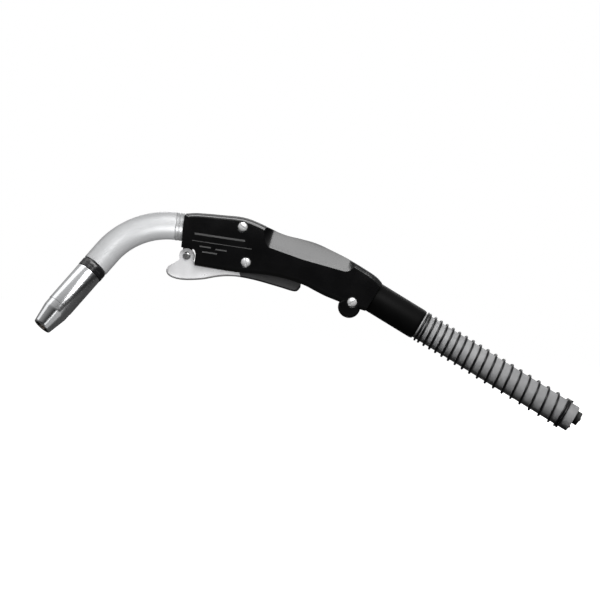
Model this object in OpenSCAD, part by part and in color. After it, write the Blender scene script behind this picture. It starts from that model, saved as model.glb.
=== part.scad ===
// MIG welding gun: bent neck with nozzle, two-half handle with a lever
// trigger, and the first stretch of its power cable.
// Heights and lengths below are measured from the centre of the neck's
// socket in the handle's front face: +X to the cable, +Z up, -Y the left side.

/* [Neck] */
// Outside diameter of the neck's armour tube
neck_od = 22.2; // [20:0.2:24]
// Wall of the armour tube
neck_wall = 1.6; // [1:0.1:2]
// Angle of the bend
neck_bend = 57; // [40:1:75]
// Radius of the bend at the centre line
neck_bend_r = 62; // [50:1:90]
// Turn of the neck to the left, from hanging straight down
neck_turn = 17; // [0:1:45]
// Straight length from the bend to the insulator ring
neck_front = 14.5; // [8:0.5:40]
// Length of the end collar at the handle
collar_len = 6; // [4:0.5:12]
// Outside diameter of the copper conductor tube
conductor_od = 15.6; // [14:0.2:16]
// Bore of the copper conductor tube
conductor_bore = 9; // [7:0.5:10]

/* [Nozzle] */
// Length of the insulator ring that shows
ring_len = 7.8; // [5:0.2:12]
// Outside diameter of the nozzle
nozzle_od = 21.6; // [20.8:0.1:24]
// Wall of the nozzle
nozzle_wall = 1.8; // [1.2:0.1:2]
// Length of the nozzle
nozzle_len = 58.3; // [48:0.5:75]
// Length of the taper at the mouth
taper_len = 16; // [8:1:24]
// Outside diameter of the nozzle's mouth
mouth_od = 15.6; // [14:0.2:18]
// How far the nozzle slides over the insulator
nozzle_grip = 14; // [10:0.5:16]
// Outside diameter of the contact tip
tip_od = 8; // [6:0.5:8]
// Diameter of the contact tip's front face
tip_face = 5.2; // [4:0.2:6]
// Depth of the contact tip's face inside the mouth
tip_recess = 1.2; // [0:0.2:3]
// Bore of the contact tip for the wire
tip_bore = 1.3; // [0.9:0.1:1.8]

/* [Handle] */
// Length of the handle from its front face to its rear collar
handle_len = 157; // [131:1:190]
// Drop of the rear collar's centre below the neck's axis
handle_drop = 38.5; // [34:0.5:46]
// Tilt of the cable below the neck's axis
tail_tilt = 25; // [18:1:30]
// Width across both halves at the front
handle_w = 32; // [30:1:40]
// Width across both halves at the rear
handle_rear_w = 29; // [28:1:36]
// Wall of the moulded halves
wall = 2.5; // [2:0.1:3]
// Rounding of the long edges
edge_r = 5; // [2:0.5:6]
// Radius of the lug under the rear end
lug_r = 8.8; // [7:0.2:10]
// Outside diameter of the posts round the screws
post_od = 8; // [7:0.2:9]

/* [Screws] */
// Thread diameter of the handle's screws
screw_d = 4; // [3:0.5:4]
// Head diameter
screw_head_d = 7.6; // [6:0.2:8.4]
// Head height
screw_head_h = 2.4; // [1.6:0.1:3]
// Width across the flats of the nuts
nut_af = 7; // [5.5:0.1:7]
// Thickness of the nuts
nut_h = 3.2; // [2:0.1:4]

/* [Trigger] */
// Length of the lever behind its pivot
lever_len = 93; // [80:1:96]
// Width across the lever
lever_w = 20.4; // [18:0.2:22]
// Thickness of the lever's sheet
lever_t = 1.2; // [0.8:0.1:1.6]
// Radius of the lever's ears
ear_r = 6; // [5:0.2:6.4]
// Diameter of the pivot pin
pin_d = 4; // [3:0.2:4.4]
// Distance of the plunger behind the pivot
plunger_x = 35; // [28:1:36]
// Diameter of the plunger
plunger_d = 4; // [3:0.5:5]
// Diameter of the spring's wire
plunger_wire = 0.7; // [0.5:0.1:0.9]

/* [Cable] */
// Outside diameter of the cable
cable_od = 21.8; // [20:0.2:22]
// Wall of the cable's jacket
jacket_wall = 2; // [1.5:0.1:2.4]
// Length of cable behind the handle
cable_len = 187; // [150:1:260]
// Outside diameter of the power core
core_od = 11.2; // [10:0.2:12]
// Wall of the core's insulation
core_wall = 1; // [0.7:0.1:1.2]
// Wall of the layer of copper strands
strands_wall = 1.6; // [1:0.1:2]
// Filler between the core and the jacket above it
core_cover = 0.9; // [0.3:0.1:2]
// Filler between the control leads and the jacket below them
lead_cover = 1.2; // [0.4:0.1:2]
// Length of the core that stands out of the cut end
core_stub = 4.5; // [1:0.5:10]
// Outside diameter of the wire liner
liner_od = 3.2; // [2.6:0.1:3.4]
// Bore of the wire liner
liner_bore = 1.8; // [1.4:0.1:2]
// Diameter of each control lead
lead_d = 2.2; // [1.6:0.1:2.4]

/* [Strain relief] */
// Length of the rubber sleeve behind the handle
sleeve_len = 43; // [30:1:60]
// Wall of the rubber sleeve
sleeve_wall = 1.6; // [1.2:0.1:2]
// Length of the sleeve's spigot inside the handle
spigot_len = 7; // [6:0.5:7.5]
// Diameter of the bend spring's wire
wire_d = 1.4; // [1:0.1:1.8]
// Length of the bend spring
spring_len = 137; // [100:1:160]
// Open turns of the bend spring
spring_turns = 18; // [10:1:24]
// Pitch of the first open turn
spring_pitch = 4.8; // [3:0.1:6]

/* [Fits] */
// Radial clearance of a fit that stays put
fit = 0.03; // [0.01:0.01:0.1]
// Radial clearance of a fit that turns or slides
run = 0.06; // [0.03:0.01:0.1]
// Gap between faces that pass each other
gap = 0.35; // [0.3:0.05:0.6]

/* [Hidden] */
$fn = 64;

// The origin: the middle of the grip, under the palm
grip_centre = [90, 0, -17];

// Neck, along its own axis from the end of the bend
bend_start = collar_len + gap;
insulation_od = neck_od - 2 * neck_wall - 2 * fit;
ring_end = neck_front + ring_len;
conductor_end = neck_front + 4;
grip_end = ring_end + nozzle_grip;
diffuser_end = grip_end + 5;
mouth_at = ring_end + nozzle_len;
tip_end = mouth_at - tip_recess;
tip_shank = 9;
nozzle_bore = nozzle_od - 2 * nozzle_wall;
mouth_bore = mouth_od - 2 * nozzle_wall + 0.6;
diffuser_chamber_d = 6.6;

// Connector block
block_x = 14;
block_len = 28;
block_od = 23.4;
block_z = -3;
socket_len = 10;
conductor_back = block_x + socket_len - gap;
block_end = block_x + block_len;
core_drop = 5.5;
clamp_x = block_x + 4;
clamp_d = 5;
seat_depth = 2;
terminal_len = 8;
terminal_od = 10;
barb_len = 10;

// Cable's layers: the core lies above its centre and the leads below
jacket_bore = cable_od - 2 * jacket_wall;
core_offset = (jacket_bore - core_od) / 2 - core_cover;
lead_y = 3;
lead_drop = jacket_bore / 2 - lead_d / 2 - lead_cover;

// Tail of the handle: rear collar's centre and the cable's direction
rear = [handle_len, -handle_drop];
tail_dir = [cos(tail_tilt), -sin(tail_tilt)];
tail_up = [sin(tail_tilt), cos(tail_tilt)];
function tail(along, up) = rear + along * tail_dir + up * tail_up;

// Core: straight from the block to a bend, then along the tail
core_bend_r = 80;
// Straight stretches run this far into a bend, and are this much slimmer there
lap = 0.5;
slim = 0.04;
core_from = [block_end, -core_drop];
core_corner = tail(-54, core_offset);
core_tilt = atan2(core_from[1] - core_corner[1], core_corner[0] - core_from[0]);
core_turn = tail_tilt - core_tilt;
core_tangent = core_bend_r * tan(core_turn / 2);
core_run = norm(core_corner - core_from) - core_tangent;
core_arc = core_bend_r * core_turn * PI / 180;
core_tail_start = core_tangent - 54;
cable_end = cable_len + core_stub;
// A place on the core's bend, and where the liner leaves the way between the sockets
function core_bend(part) =
    let (a = core_tilt + part * core_turn)
        core_from + core_run * [cos(core_tilt), -sin(core_tilt)]
        + core_bend_r * [sin(a) - sin(core_tilt), cos(a) - cos(core_tilt)];
liner_way = core_from - (terminal_len - 1) * [cos(core_tilt), -sin(core_tilt)];

// Outline of the handle, seen from the left
function blend(a, b, c, d, u) =
    0.5 * (2 * b + (c - a) * u + (2 * a - 5 * b + 4 * c - d) * u * u
    + (3 * b - a - 3 * c + d) * u * u * u);
function curve(knots, steps) = [
    for (i = [0 : len(knots) - 2], s = [0 : steps - 1])
        blend(knots[max(i - 1, 0)], knots[i], knots[i + 1],
            knots[min(i + 2, len(knots) - 1)], s / steps),
    knots[len(knots) - 1]
];
collar_r = cable_od / 2 + sleeve_wall + 0.5;
notch_roof = -16.3;
notch_back = 12;
back_top = curve([
    [1.5, 10.9], [0.07 * handle_len, 12.3], [0.2 * handle_len, 12.9],
    [0.3 * handle_len, 12.9], [0.385 * handle_len, 9.7], [0.47 * handle_len, 4.8],
    [0.53 * handle_len, 2.3], [0.6 * handle_len, 0.9], tail(-61, 12.6), tail(-47, 14.2),
    tail(-33, 15.3), tail(-18, 15.5), tail(-7, 15), tail(0, collar_r)
], 3);
belly = curve([
    tail(0, -collar_r), tail(-8, -15), tail(-31, -19.2), tail(-42, -20.2), tail(-54, -21.2),
    [0.52 * handle_len, -31.6], [0.42 * handle_len, -30.8], [0.3 * handle_len, -31.4],
    [0.17 * handle_len, -30.6], [notch_back, -29.7]
], 3);
screw_places = [[46.9, 5.3], [52.5, -22.6], tail(-12.6, -12.6)];
lug_place = tail(-12.6, -17);
// Cross walls of the halves: [from, thickness, lowest level]
cross_walls = [[1, 6, -14], [block_x + 6, 3, -14.5], [block_end - 6, 3, -14.5], [90, 3, -23]];
arm_w = 4;
arm_h = 8;
round_steps = 4;

// Trigger
pivot = [5, -22.7];
sheet_gap = lever_w / 2 - lever_t;
slot_w = lever_w + 2 * gap;
hanger_w = 2 * sheet_gap - 2 * gap;
lever_back = pivot[0] + lever_len;
plunger_at = pivot[0] + plunger_x;
saddle = -34.8;
lever_under = curve([
    [-8.6, -32.4], [-10, -35.8], [-8.2, -39.4], [-3, -41.6], [5.6, -42], [19, -40],
    [30, -36.8], [plunger_at, saddle - 0.2], [plunger_at + 10, saddle],
    [0.65 * lever_back, -36.2], [0.83 * lever_back, -39.2],
    [0.96 * lever_back, -41.2], [lever_back, -37.4]
], 4);
lever_wall = -28.5;
lever_wall_low = -30.4;

// Switch
switch_bottom = -26.5;
switch_top = -16;
switch_w = 11;
switch_from = 22;
switch_to = 47;
switch_wall = 1.5;
foot_bottom = saddle + lever_t + gap;
foot_h = 1.3;
foot_d = 7;
plunger_top = -22;
contact_level = -19.5;
spring_coils = 3.5;
lead_level = -16.2;
lead_from = 3;
terminal_block = [2.3, 2.4, 2.6];

// Layers of the power core, from the outside in
strands_od = core_od - 2 * core_wall - 2 * fit;
strands_bore = strands_od - 2 * strands_wall;
conduit_od = strands_bore - 2 * fit;
conduit_bore = liner_od + 0.8;

// Strain relief
sleeve_od = cable_od + 2 * fit + 2 * sleeve_wall;
spigot_od = sleeve_od - 2.4;
flange_od = spigot_od + 2;
neck_of_spigot = 4;
close_pitch = wire_d + 0.1;
open_len = spring_len - 4 * close_pitch;
last_pitch = 2 * open_len / spring_turns - spring_pitch;

// ---- Shapes that several pieces use ----

module in_place() {
    translate(-grip_centre) children();
}

module turned() {
    in_place() rotate([-neck_turn, 0, 0]) children();
}

// Places +Z along the neck's front end, pointing out of the nozzle
module at_neck_end(along = 0) {
    translate([-bend_start - neck_bend_r * sin(neck_bend), 0, neck_bend_r * (cos(neck_bend) - 1)])
        rotate([0, -90 - neck_bend, 0])
            translate([0, 0, along]) children();
}

// A round tube along X from one place to the next
module tube_x(od, bore, from, to, z = 0) {
    translate([from, 0, z]) rotate([0, 90, 0]) difference() {
        cylinder(d = od, h = to - from);
        translate([0, 0, -1]) cylinder(d = bore, h = to - from + 2);
    }
}

module tube_up(od, bore, from, to) {
    translate([0, 0, from]) difference() {
        cylinder(d = od, h = to - from);
        translate([0, 0, -1]) cylinder(d = bore, h = to - from + 2);
    }
}

module ring_2d(od, bore) {
    difference() {
        circle(d = od);
        circle(d = bore);
    }
}

// A tube along the neck: inside the handle, round the bend and on to the front
module neck_tube(od, bore, back, front) {
    if (back > -bend_start) tube_x(od - slim, bore + slim, -bend_start - lap, back);
    translate([-bend_start, 0, -neck_bend_r]) rotate([90, -90, 0])
        rotate_extrude(angle = neck_bend, $fn = 180)
            translate([neck_bend_r, 0]) ring_2d(od, bore);
    at_neck_end() tube_up(od - slim, bore + slim, -lap, front);
}

// Places +Z along the core where it leaves the block
module at_core_start(along = 0) {
    translate([core_from[0], 0, core_from[1]]) rotate([0, 90 + core_tilt, 0])
        translate([0, 0, along]) children();
}

// Places +Z along the cable, +X down, counted from the handle's rear face
module at_tail(along = 0, up = 0) {
    translate([rear[0], 0, rear[1]]) rotate([0, 90 + tail_tilt, 0])
        translate([-up, 0, along]) children();
}

// A tube along the core, from the block to a place behind the handle
module core_tube(od, bore, from, to) {
    at_core_start() tube_up(od - slim, bore + slim, from, core_run + lap);
    at_core_start(core_run) translate([core_bend_r, 0, 0]) rotate([90, 180, 0])
        rotate_extrude(angle = -core_turn, $fn = 180)
            translate([core_bend_r, 0]) ring_2d(od, bore);
    at_tail(0, core_offset) tube_up(od - slim, bore + slim, core_tail_start - lap, to);
}

// A straight round rod between two points
module rod(a, b, d) {
    way = b - a;
    translate(a) rotate([0, acos(way[2] / norm(way)), atan2(way[1], way[0])])
        cylinder(d = d, h = norm(way));
}

// A many-sided rod bent through points [x, z] of an upright plane
function unit(v) = v / norm(v);
function leg(path, i) = unit(path[i + 1] - path[i]);
function heading(path, i) =
    unit(leg(path, max(i - 1, 0)) + leg(path, min(i, len(path) - 2)));
module bent_rod(path, d, y = 0, sides = 10) {
    count = len(path);
    rings = [
        for (i = [0 : count - 1], k = [0 : sides - 1])
            let (t = heading(path, i), a = 360 * (k + 0.5) / sides)
                [path[i][0] - t[1] * d / 2 * cos(a), y + d / 2 * sin(a), path[i][1] + t[0] * d / 2 * cos(a)]
    ];
    walls = [
        for (i = [0 : count - 2], k = [0 : sides - 1])
            let (n = i * sides + k, m = i * sides + (k + 1) % sides)
                each [[n, m, n + sides], [m, m + sides, n + sides]]
    ];
    ends = [
        [for (k = [sides - 1 : -1 : 0]) k],
        [for (k = [0 : sides - 1]) (count - 1) * sides + k]
    ];
    polyhedron(points = rings, faces = concat(walls, ends), convexity = 6);
}

// A round wire along a helix about +Z; height(turn) gives its rise
module helix(d_mean, wire, turns, heights, sides = 6) {
    steps = len(heights) - 1;
    rings = [
        for (i = [0 : steps], k = [0 : sides - 1])
            let (a = 360 * turns * i / steps, b = 360 * k / sides)
                [(d_mean + wire * cos(b)) / 2 * cos(a), (d_mean + wire * cos(b)) / 2 * sin(a),
                    heights[i] + wire / 2 * sin(b)]
    ];
    walls = [
        for (i = [0 : steps - 1], k = [0 : sides - 1])
            let (n = i * sides + k, m = i * sides + (k + 1) % sides)
                each [[n, n + sides, m], [m, n + sides, m + sides]]
    ];
    ends = [[for (k = [0 : sides - 1]) k], [for (k = [sides - 1 : -1 : 0]) steps * sides + k]];
    polyhedron(points = rings, faces = concat(walls, ends), convexity = 10);
}

// ---- Neck ----

module neck_armour() {
    color("gainsboro") turned() neck_tube(neck_od, neck_od - 2 * neck_wall, -bend_start, neck_front);
}

module neck_collar() {
    color("silver") turned() tube_x(neck_od + 0.4, insulation_od + 2 * fit, -bend_start, -gap);
}

module neck_insulation() {
    color("dimgray") turned()
        neck_tube(insulation_od, conductor_od + 2 * fit, block_x - gap, neck_front);
}

module conductor_tube() {
    color("peru") turned() neck_tube(conductor_od, conductor_bore, conductor_back, conductor_end);
}

module neck_liner() {
    color("slategray") turned()
        neck_tube(liner_od, liner_bore, conductor_back, diffuser_end - tip_shank - 3);
}

module nozzle_insulator() {
    color("black") turned() at_neck_end() difference() {
        union() {
            translate([0, 0, neck_front]) cylinder(d1 = neck_od - 1.6, d2 = neck_od, h = 1.6);
            translate([0, 0, neck_front + 1.6]) cylinder(d = neck_od, h = ring_len - 1.6);
            translate([0, 0, ring_end]) cylinder(d = nozzle_bore - 2 * run, h = nozzle_grip);
        }
        translate([0, 0, neck_front - 1])
            cylinder(d = conductor_od + 2 * fit, h = ring_len + nozzle_grip + 2);
    }
}

module gas_diffuser() {
    color("goldenrod") turned() at_neck_end() difference() {
        union() {
            translate([0, 0, conductor_end - 7]) cylinder(d = conductor_bore - 2 * fit, h = 7);
            translate([0, 0, conductor_end]) cylinder(d = conductor_od, h = grip_end - conductor_end);
            translate([0, 0, grip_end])
                cylinder(d = conductor_od - 2, h = diffuser_end - grip_end);
        }
        translate([0, 0, conductor_end - 8])
            cylinder(d = diffuser_chamber_d, h = diffuser_end - tip_shank - conductor_end + 8);
        translate([0, 0, conductor_end]) cylinder(d = tip_od - 2, h = diffuser_end);
        for (turn = [0 : 60 : 300]) rotate([0, 0, turn]) translate([0, 0, grip_end + 2.4])
            rotate([0, 90, 0]) cylinder(d = 2, h = conductor_od);
    }
}

module contact_tip() {
    color("sandybrown") turned() at_neck_end() difference() {
        union() {
            translate([0, 0, diffuser_end - tip_shank])
                cylinder(d = tip_od - 2 - 2 * fit, h = tip_shank);
            translate([0, 0, diffuser_end]) cylinder(d = tip_od, h = tip_end - 10 - diffuser_end);
            translate([0, 0, tip_end - 10]) cylinder(d1 = tip_od, d2 = tip_face, h = 10);
        }
        translate([0, 0, diffuser_end - tip_shank - 1]) cylinder(d = tip_bore, h = nozzle_len * 2);
        translate([0, 0, diffuser_end - tip_shank - 1]) cylinder(d = 2.4, h = 13);
    }
}

module nozzle() {
    outer = nozzle_od / 2;
    inner = nozzle_bore / 2;
    straight = nozzle_len - taper_len;
    color("lightsteelblue") turned() at_neck_end(ring_end + 0.1) rotate_extrude() polygon([
        [inner, 0], [outer - 0.5, 0], [outer, 0.5], [outer, straight - 6], [outer - 0.3, straight - 5.7],
        [outer - 0.3, straight], [mouth_od / 2, nozzle_len - 1], [mouth_od / 2 - 0.5, nozzle_len - 0.1],
        [mouth_bore / 2, nozzle_len - 0.1], [mouth_bore / 2, nozzle_len - 3], [inner, straight]
    ]);
}

// ---- Handle ----

module handle_outline() {
    polygon(concat(back_top, belly, [
        [notch_back, notch_roof - 4], [notch_back - 1.2, notch_roof - 1.2],
        [notch_back - 4, notch_roof], [0, notch_roof], [0, 9.4]
    ]));
    translate(lug_place) circle(r = lug_r);
}

// The left side of the outline, from the joint face out
module left_slab(inset, depth) {
    rotate([90, 0, 0]) linear_extrude(depth) offset(delta = -inset) handle_outline();
}

module plan_taper(inset) {
    front = handle_w / 2 - inset;
    back = handle_rear_w / 2 - inset;
    translate([0, 0, -90]) linear_extrude(120) polygon([
        [-1, 0], [-1, -front], [0.62 * handle_len, -front], [0.95 * handle_len, -back],
        [handle_len + 20, -back], [handle_len + 20, 0]
    ]);
}

// Full left half, its long edges rounded in steps
module left_solid() {
    for (i = [0 : round_steps]) {
        turn = 80 * i / round_steps;
        left_slab(edge_r * (1 - cos(turn)), handle_w / 2 - edge_r * (1 - sin(turn)));
    }
}

module left_cavity() {
    intersection() {
        left_slab(wall, handle_w / 2 - wall);
        plan_taper(wall);
    }
}

// A rib across the half between two places, above a level
module left_rib(from, thick, level) {
    intersection() {
        left_slab(0.5, handle_w / 2 - 1);
        translate([from, -handle_w, level]) cube([thick, handle_w, 60]);
    }
}

// Posts, ribs and collars that the half is moulded with
module left_mouldings() {
    screw_row(0, post_od, handle_w / 2 - 2);
    for (cross = cross_walls) left_rib(cross[0], cross[1], cross[2]);
    // Rear collar that clamps the sleeve's spigot
    intersection() {
        left_slab(0.5, handle_w / 2 - 1);
        at_tail(-spigot_len - 1.5) translate([-40, -40, 0]) cube([80, 40, spigot_len + 1.5]);
    }
    // Cradle arms beside the switch
    for (from = [switch_from + 2, switch_to - 2 - arm_w])
        translate([from, -handle_w / 2 + 1, switch_bottom + 1])
            cube([arm_w, handle_w / 2 - 1 - switch_w / 2 - fit, arm_h]);
}

// Hanger for the pivot pin, in the notch under the front
module left_hanger() {
    translate([pivot[0], 0, pivot[1]]) rotate([90, 0, 0]) cylinder(d = pin_d + 5, h = hanger_w / 2);
    translate([pivot[0] - 3.6, -hanger_w / 2, pivot[1]])
        cube([7.2, hanger_w / 2, notch_roof - pivot[1] + 1]);
}

module screw_row(depth_from, d, h) {
    for (place = screw_places) translate([place[0], -depth_from, place[1]])
        rotate([90, 0, 0]) cylinder(d = d, h = h);
}

// Distance of the flat side from the joint face
function side_at(place) =
    lookup(place[0], [[0.62 * handle_len, handle_w / 2], [0.95 * handle_len, handle_rear_w / 2]]);

// Slot for the lever and the switch
module lever_slot() {
    translate([notch_back - 3, -slot_w / 2, -60])
        cube([lever_back + 5.5 - notch_back, slot_w, 61 + switch_bottom]);
}

module core_channel() {
    channel = core_od + 1.8;
    at_core_start() cylinder(d = channel, h = core_run);
    at_core_start(core_run) translate([core_bend_r, 0, 0]) rotate([90, 180, 0])
        rotate_extrude(angle = -core_turn, $fn = 180)
            translate([core_bend_r, 0]) circle(d = channel);
    at_tail(core_tail_start, core_offset) cylinder(d = channel, h = -core_tail_start);
}

module half_shell() {
    difference() {
        union() {
            difference() {
                left_solid();
                left_cavity();
                lever_slot();
            }
            left_mouldings();
            left_hanger();
        }
        translate([-5, 0, 0]) rotate([0, 90, 0])
            cylinder(d = insulation_od + 2 * run, h = block_x + 10);
        translate([block_x - fit, 0, block_z]) rotate([0, 90, 0])
            cylinder(d = block_od + 2 * fit, h = block_len + 2 * fit);
        core_channel();
        at_tail(-neck_of_spigot) cylinder(d = spigot_od + 2 * fit, h = 10);
        at_tail(-spigot_len - fit)
            cylinder(d = flange_od + 2 * fit, h = spigot_len - neck_of_spigot + 2 * fit);
        at_tail(-spigot_len - 5) cylinder(d = spigot_od - 3, h = 10);
        translate([pivot[0], 1, pivot[1]]) rotate([90, 0, 0])
            cylinder(d = pin_d + 2 * fit, h = hanger_w);
        screw_row(-1, screw_d + 4 * fit, handle_w);
    }
}

module handle_left() {
    color("#17181a") in_place() difference() {
        intersection() {
            half_shell();
            plan_taper(0);
        }
        for (place = screw_places)
            translate([place[0], -side_at(place) + seat_depth, place[1]]) rotate([90, 0, 0])
                cylinder(d = screw_head_d + 0.6, h = 10);
    }
}

module handle_right() {
    color("#1c1d1f") in_place() mirror([0, 1, 0]) difference() {
        intersection() {
            half_shell();
            plan_taper(0);
        }
        for (place = screw_places)
            translate([place[0], -side_at(place) + seat_depth, place[1]]) rotate([90, 0, 0])
                cylinder(d = nut_af / cos(30) + 0.2, h = 10, $fn = 6);
    }
}

module handle_screws() {
    color("whitesmoke") in_place() for (place = screw_places) {
        side = side_at(place);
        translate([place[0], -side + seat_depth, place[1]]) rotate([90, 0, 0]) difference() {
            union() {
                translate([0, 0, 0.03]) cylinder(d = screw_head_d, h = 0.6 * screw_head_h);
                translate([0, 0, 0.6 * screw_head_h + 0.03])
                    cylinder(d1 = screw_head_d, d2 = 0.7 * screw_head_d, h = 0.4 * screw_head_h);
                translate([0, 0, 0.1 - 2 * side + 2 * seat_depth - nut_h])
                    cylinder(d = screw_d, h = 2 * side - 2 * seat_depth + nut_h);
            }
            translate([-screw_head_d, -0.5, screw_head_h - 1])
                cube([2 * screw_head_d, 1, 2]);
        }
    }
}

module handle_nuts() {
    color("lightgray") in_place() for (place = screw_places)
        translate([place[0], side_at(place) - seat_depth + nut_h + 0.03, place[1]])
            rotate([90, 0, 0]) difference() {
                cylinder(d = nut_af / cos(30), h = nut_h, $fn = 6);
                translate([0, 0, -1]) cylinder(d = screw_d + 2 * fit, h = nut_h + 2);
            }
}

// ---- Power connection ----

module connector_block() {
    color("darkgoldenrod") in_place() difference() {
        translate([block_x, 0, block_z]) rotate([0, 90, 0]) cylinder(d = block_od, h = block_len);
        translate([block_x - 1, 0, 0]) rotate([0, 90, 0])
            cylinder(d = conductor_od + 2 * run, h = socket_len + 1);
        rod([block_x + socket_len - 1, 0, 0], [liner_way[0], 0, liner_way[1]], 5);
        at_core_start(-terminal_len - fit) cylinder(d = terminal_od + 2 * fit, h = 2 * terminal_len);
        translate([clamp_x, 0, -block_od]) cylinder(d = clamp_d + 2 * fit, h = block_od);
    }
}

module neck_clamp_screw() {
    color("dimgray") in_place() translate([clamp_x, 0, block_z - block_od / 2 + 0.4]) difference() {
        cylinder(d = clamp_d, h = block_od / 2 - block_z - conductor_od / 2 - 0.5);
        translate([0, 0, -1]) cylinder(d = 2.9, h = 3.4, $fn = 6);
    }
}

module cable_terminal() {
    color("gold") in_place() at_core_start() difference() {
        union() {
            translate([0, 0, -terminal_len]) cylinder(d = terminal_od, h = terminal_len);
            cylinder(d = conduit_od, h = barb_len);
        }
        translate([0, 0, -terminal_len - 1])
            cylinder(d = conduit_bore, h = terminal_len + barb_len + 2);
    }
}

module crimp_sleeve() {
    color("chocolate") in_place() at_core_start()
        tube_up(strands_od + 2 * fit + 2.6, strands_od + 2 * fit, 1, barb_len);
}

// ---- Trigger ----

module lever_side() {
    polygon(concat(lever_under, [
        [lever_back, lever_wall], [plunger_at + 18, lever_wall], [plunger_at + 17, lever_wall_low],
        [plunger_at + 8, lever_wall_low], [plunger_at + 7, lever_wall],
        [pivot[0] + ear_r + 2, lever_wall], [pivot[0] + ear_r - 0.6, lever_wall + 2.5],
        [pivot[0], pivot[1]], [-3.1, -28.6]
    ]));
    translate(pivot) circle(r = ear_r);
}

module lever_hollow() {
    for (lift = [0 : 2 : 6]) translate([0, lift]) offset(delta = -lever_t) lever_side();
    translate(pivot) circle(r = ear_r + 1);
    translate([lever_back - 6, lever_wall_low - 4.5]) square([12, 20]);
}

module trigger_lever() {
    color("lightgray") in_place() difference() {
        translate([0, lever_w / 2, 0]) rotate([90, 0, 0]) linear_extrude(lever_w) lever_side();
        translate([0, sheet_gap, 0]) rotate([90, 0, 0]) linear_extrude(2 * sheet_gap) lever_hollow();
        translate([pivot[0], lever_w, pivot[1]]) rotate([90, 0, 0])
            cylinder(d = pin_d + 2 * run, h = 2 * lever_w);
    }
}

module trigger_pin() {
    reach = lever_w / 2 + gap;
    color("white") in_place() translate([pivot[0], 0, pivot[1]]) rotate([90, 0, 0]) {
        translate([0, 0, -reach]) cylinder(d = pin_d, h = 2 * reach);
        for (side = [0, 1]) mirror([0, 0, side]) translate([0, 0, reach])
            cylinder(d1 = pin_d + 2.4, d2 = pin_d + 0.8, h = 1.2);
    }
}

// ---- Switch ----

module switch_box(inset, bottom, top) {
    translate([switch_from + inset, -switch_w / 2 + inset, bottom])
        cube([switch_to - switch_from - 2 * inset, switch_w - 2 * inset, top - bottom]);
}

module switch_housing() {
    color("darkslategray") in_place() difference() {
        switch_box(0, switch_bottom, switch_top - switch_wall);
        switch_box(switch_wall, switch_bottom + switch_wall, switch_top);
        translate([plunger_at, 0, switch_bottom - 1])
            cylinder(d = plunger_d + 2 * run, h = 4 * switch_wall);
        for (side = [-1, 1]) translate([switch_to - 3, side * lead_y - 1, contact_level - 0.03])
            cube([6, 2, 0.66]);
    }
}

module switch_cover() {
    color("gray") in_place() switch_box(0, switch_top - switch_wall, switch_top);
}

module switch_contacts() {
    color("gold") in_place() for (side = [-1, 1])
        translate([switch_from + switch_wall + 1, side * lead_y - 0.9, contact_level])
            cube([switch_to - switch_from - switch_wall - 1.2, 1.8, 0.6]);
}

module lead_terminals() {
    color("khaki") in_place() for (side = [-1, 1])
        translate([switch_to + fit, side * lead_y - terminal_block[1] / 2, contact_level - 0.6])
            cube(terminal_block);
}

module switch_plunger() {
    color("ivory") in_place() translate([plunger_at, 0, foot_bottom]) {
        cylinder(d = foot_d, h = foot_h);
        cylinder(d = plunger_d, h = plunger_top - foot_bottom);
    }
}

module plunger_spring() {
    low = foot_bottom + foot_h + plunger_wire / 2 + 0.02;
    rise = switch_bottom - plunger_wire / 2 - 0.02 - low;
    color("silver") in_place() translate([plunger_at, 0, low])
        helix(plunger_d + plunger_wire + 0.8, plunger_wire, spring_coils,
            [for (i = [0 : 70]) rise * i / 70]);
}

module control_leads() {
    path = [
        [switch_to + lead_from, lead_level - 1.1], [switch_to + lead_from + 2, lead_level - 0.4],
        [switch_to + 10, lead_level], tail(-16, -lead_drop), tail(cable_len + 1, -lead_drop)
    ];
    color("firebrick") in_place() for (side = [-1, 1]) bent_rod(path, lead_d, side * lead_y);
}

// ---- Cable ----

module cable_liner() {
    path = concat(
        [[block_x + socket_len + gap, 0], liner_way], [for (i = [0 : 5]) core_bend(i / 5)],
        [tail(cable_end + 1, core_offset)]
    );
    ends = concat([path[0] - [1, 0]], [for (i = [1 : len(path) - 2]) path[i]],
        [tail(cable_end + 2, core_offset)]);
    color("slategray") in_place() difference() {
        bent_rod(path, liner_od, 0, 12);
        bent_rod(ends, liner_bore, 0, 12);
    }
}

module gas_conduit() {
    color("white") in_place() core_tube(conduit_od, conduit_bore, barb_len + gap, cable_end);
}

module copper_strands() {
    color("peru") in_place() core_tube(strands_od, strands_bore, 0.3, cable_end);
}

module core_insulation() {
    color("dimgray") in_place()
        core_tube(core_od, strands_od + 2 * fit, barb_len + gap, cable_end);
}

module cable_filler() {
    color("tan") in_place() difference() {
        at_tail(0.5) cylinder(d = jacket_bore - 2 * fit, h = cable_len - 0.5);
        at_tail(0, core_offset) cylinder(d = core_od + 2 * fit, h = cable_len + 1);
        for (side = [-1, 1]) translate([0, side * lead_y, 0])
            at_tail(0, -lead_drop) cylinder(d = lead_d + 2 * fit, h = cable_len + 1);
    }
}

module cable_jacket() {
    color("gray") in_place() at_tail() tube_up(cable_od, jacket_bore, 0.1, cable_len);
}

// ---- Strain relief ----

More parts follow.
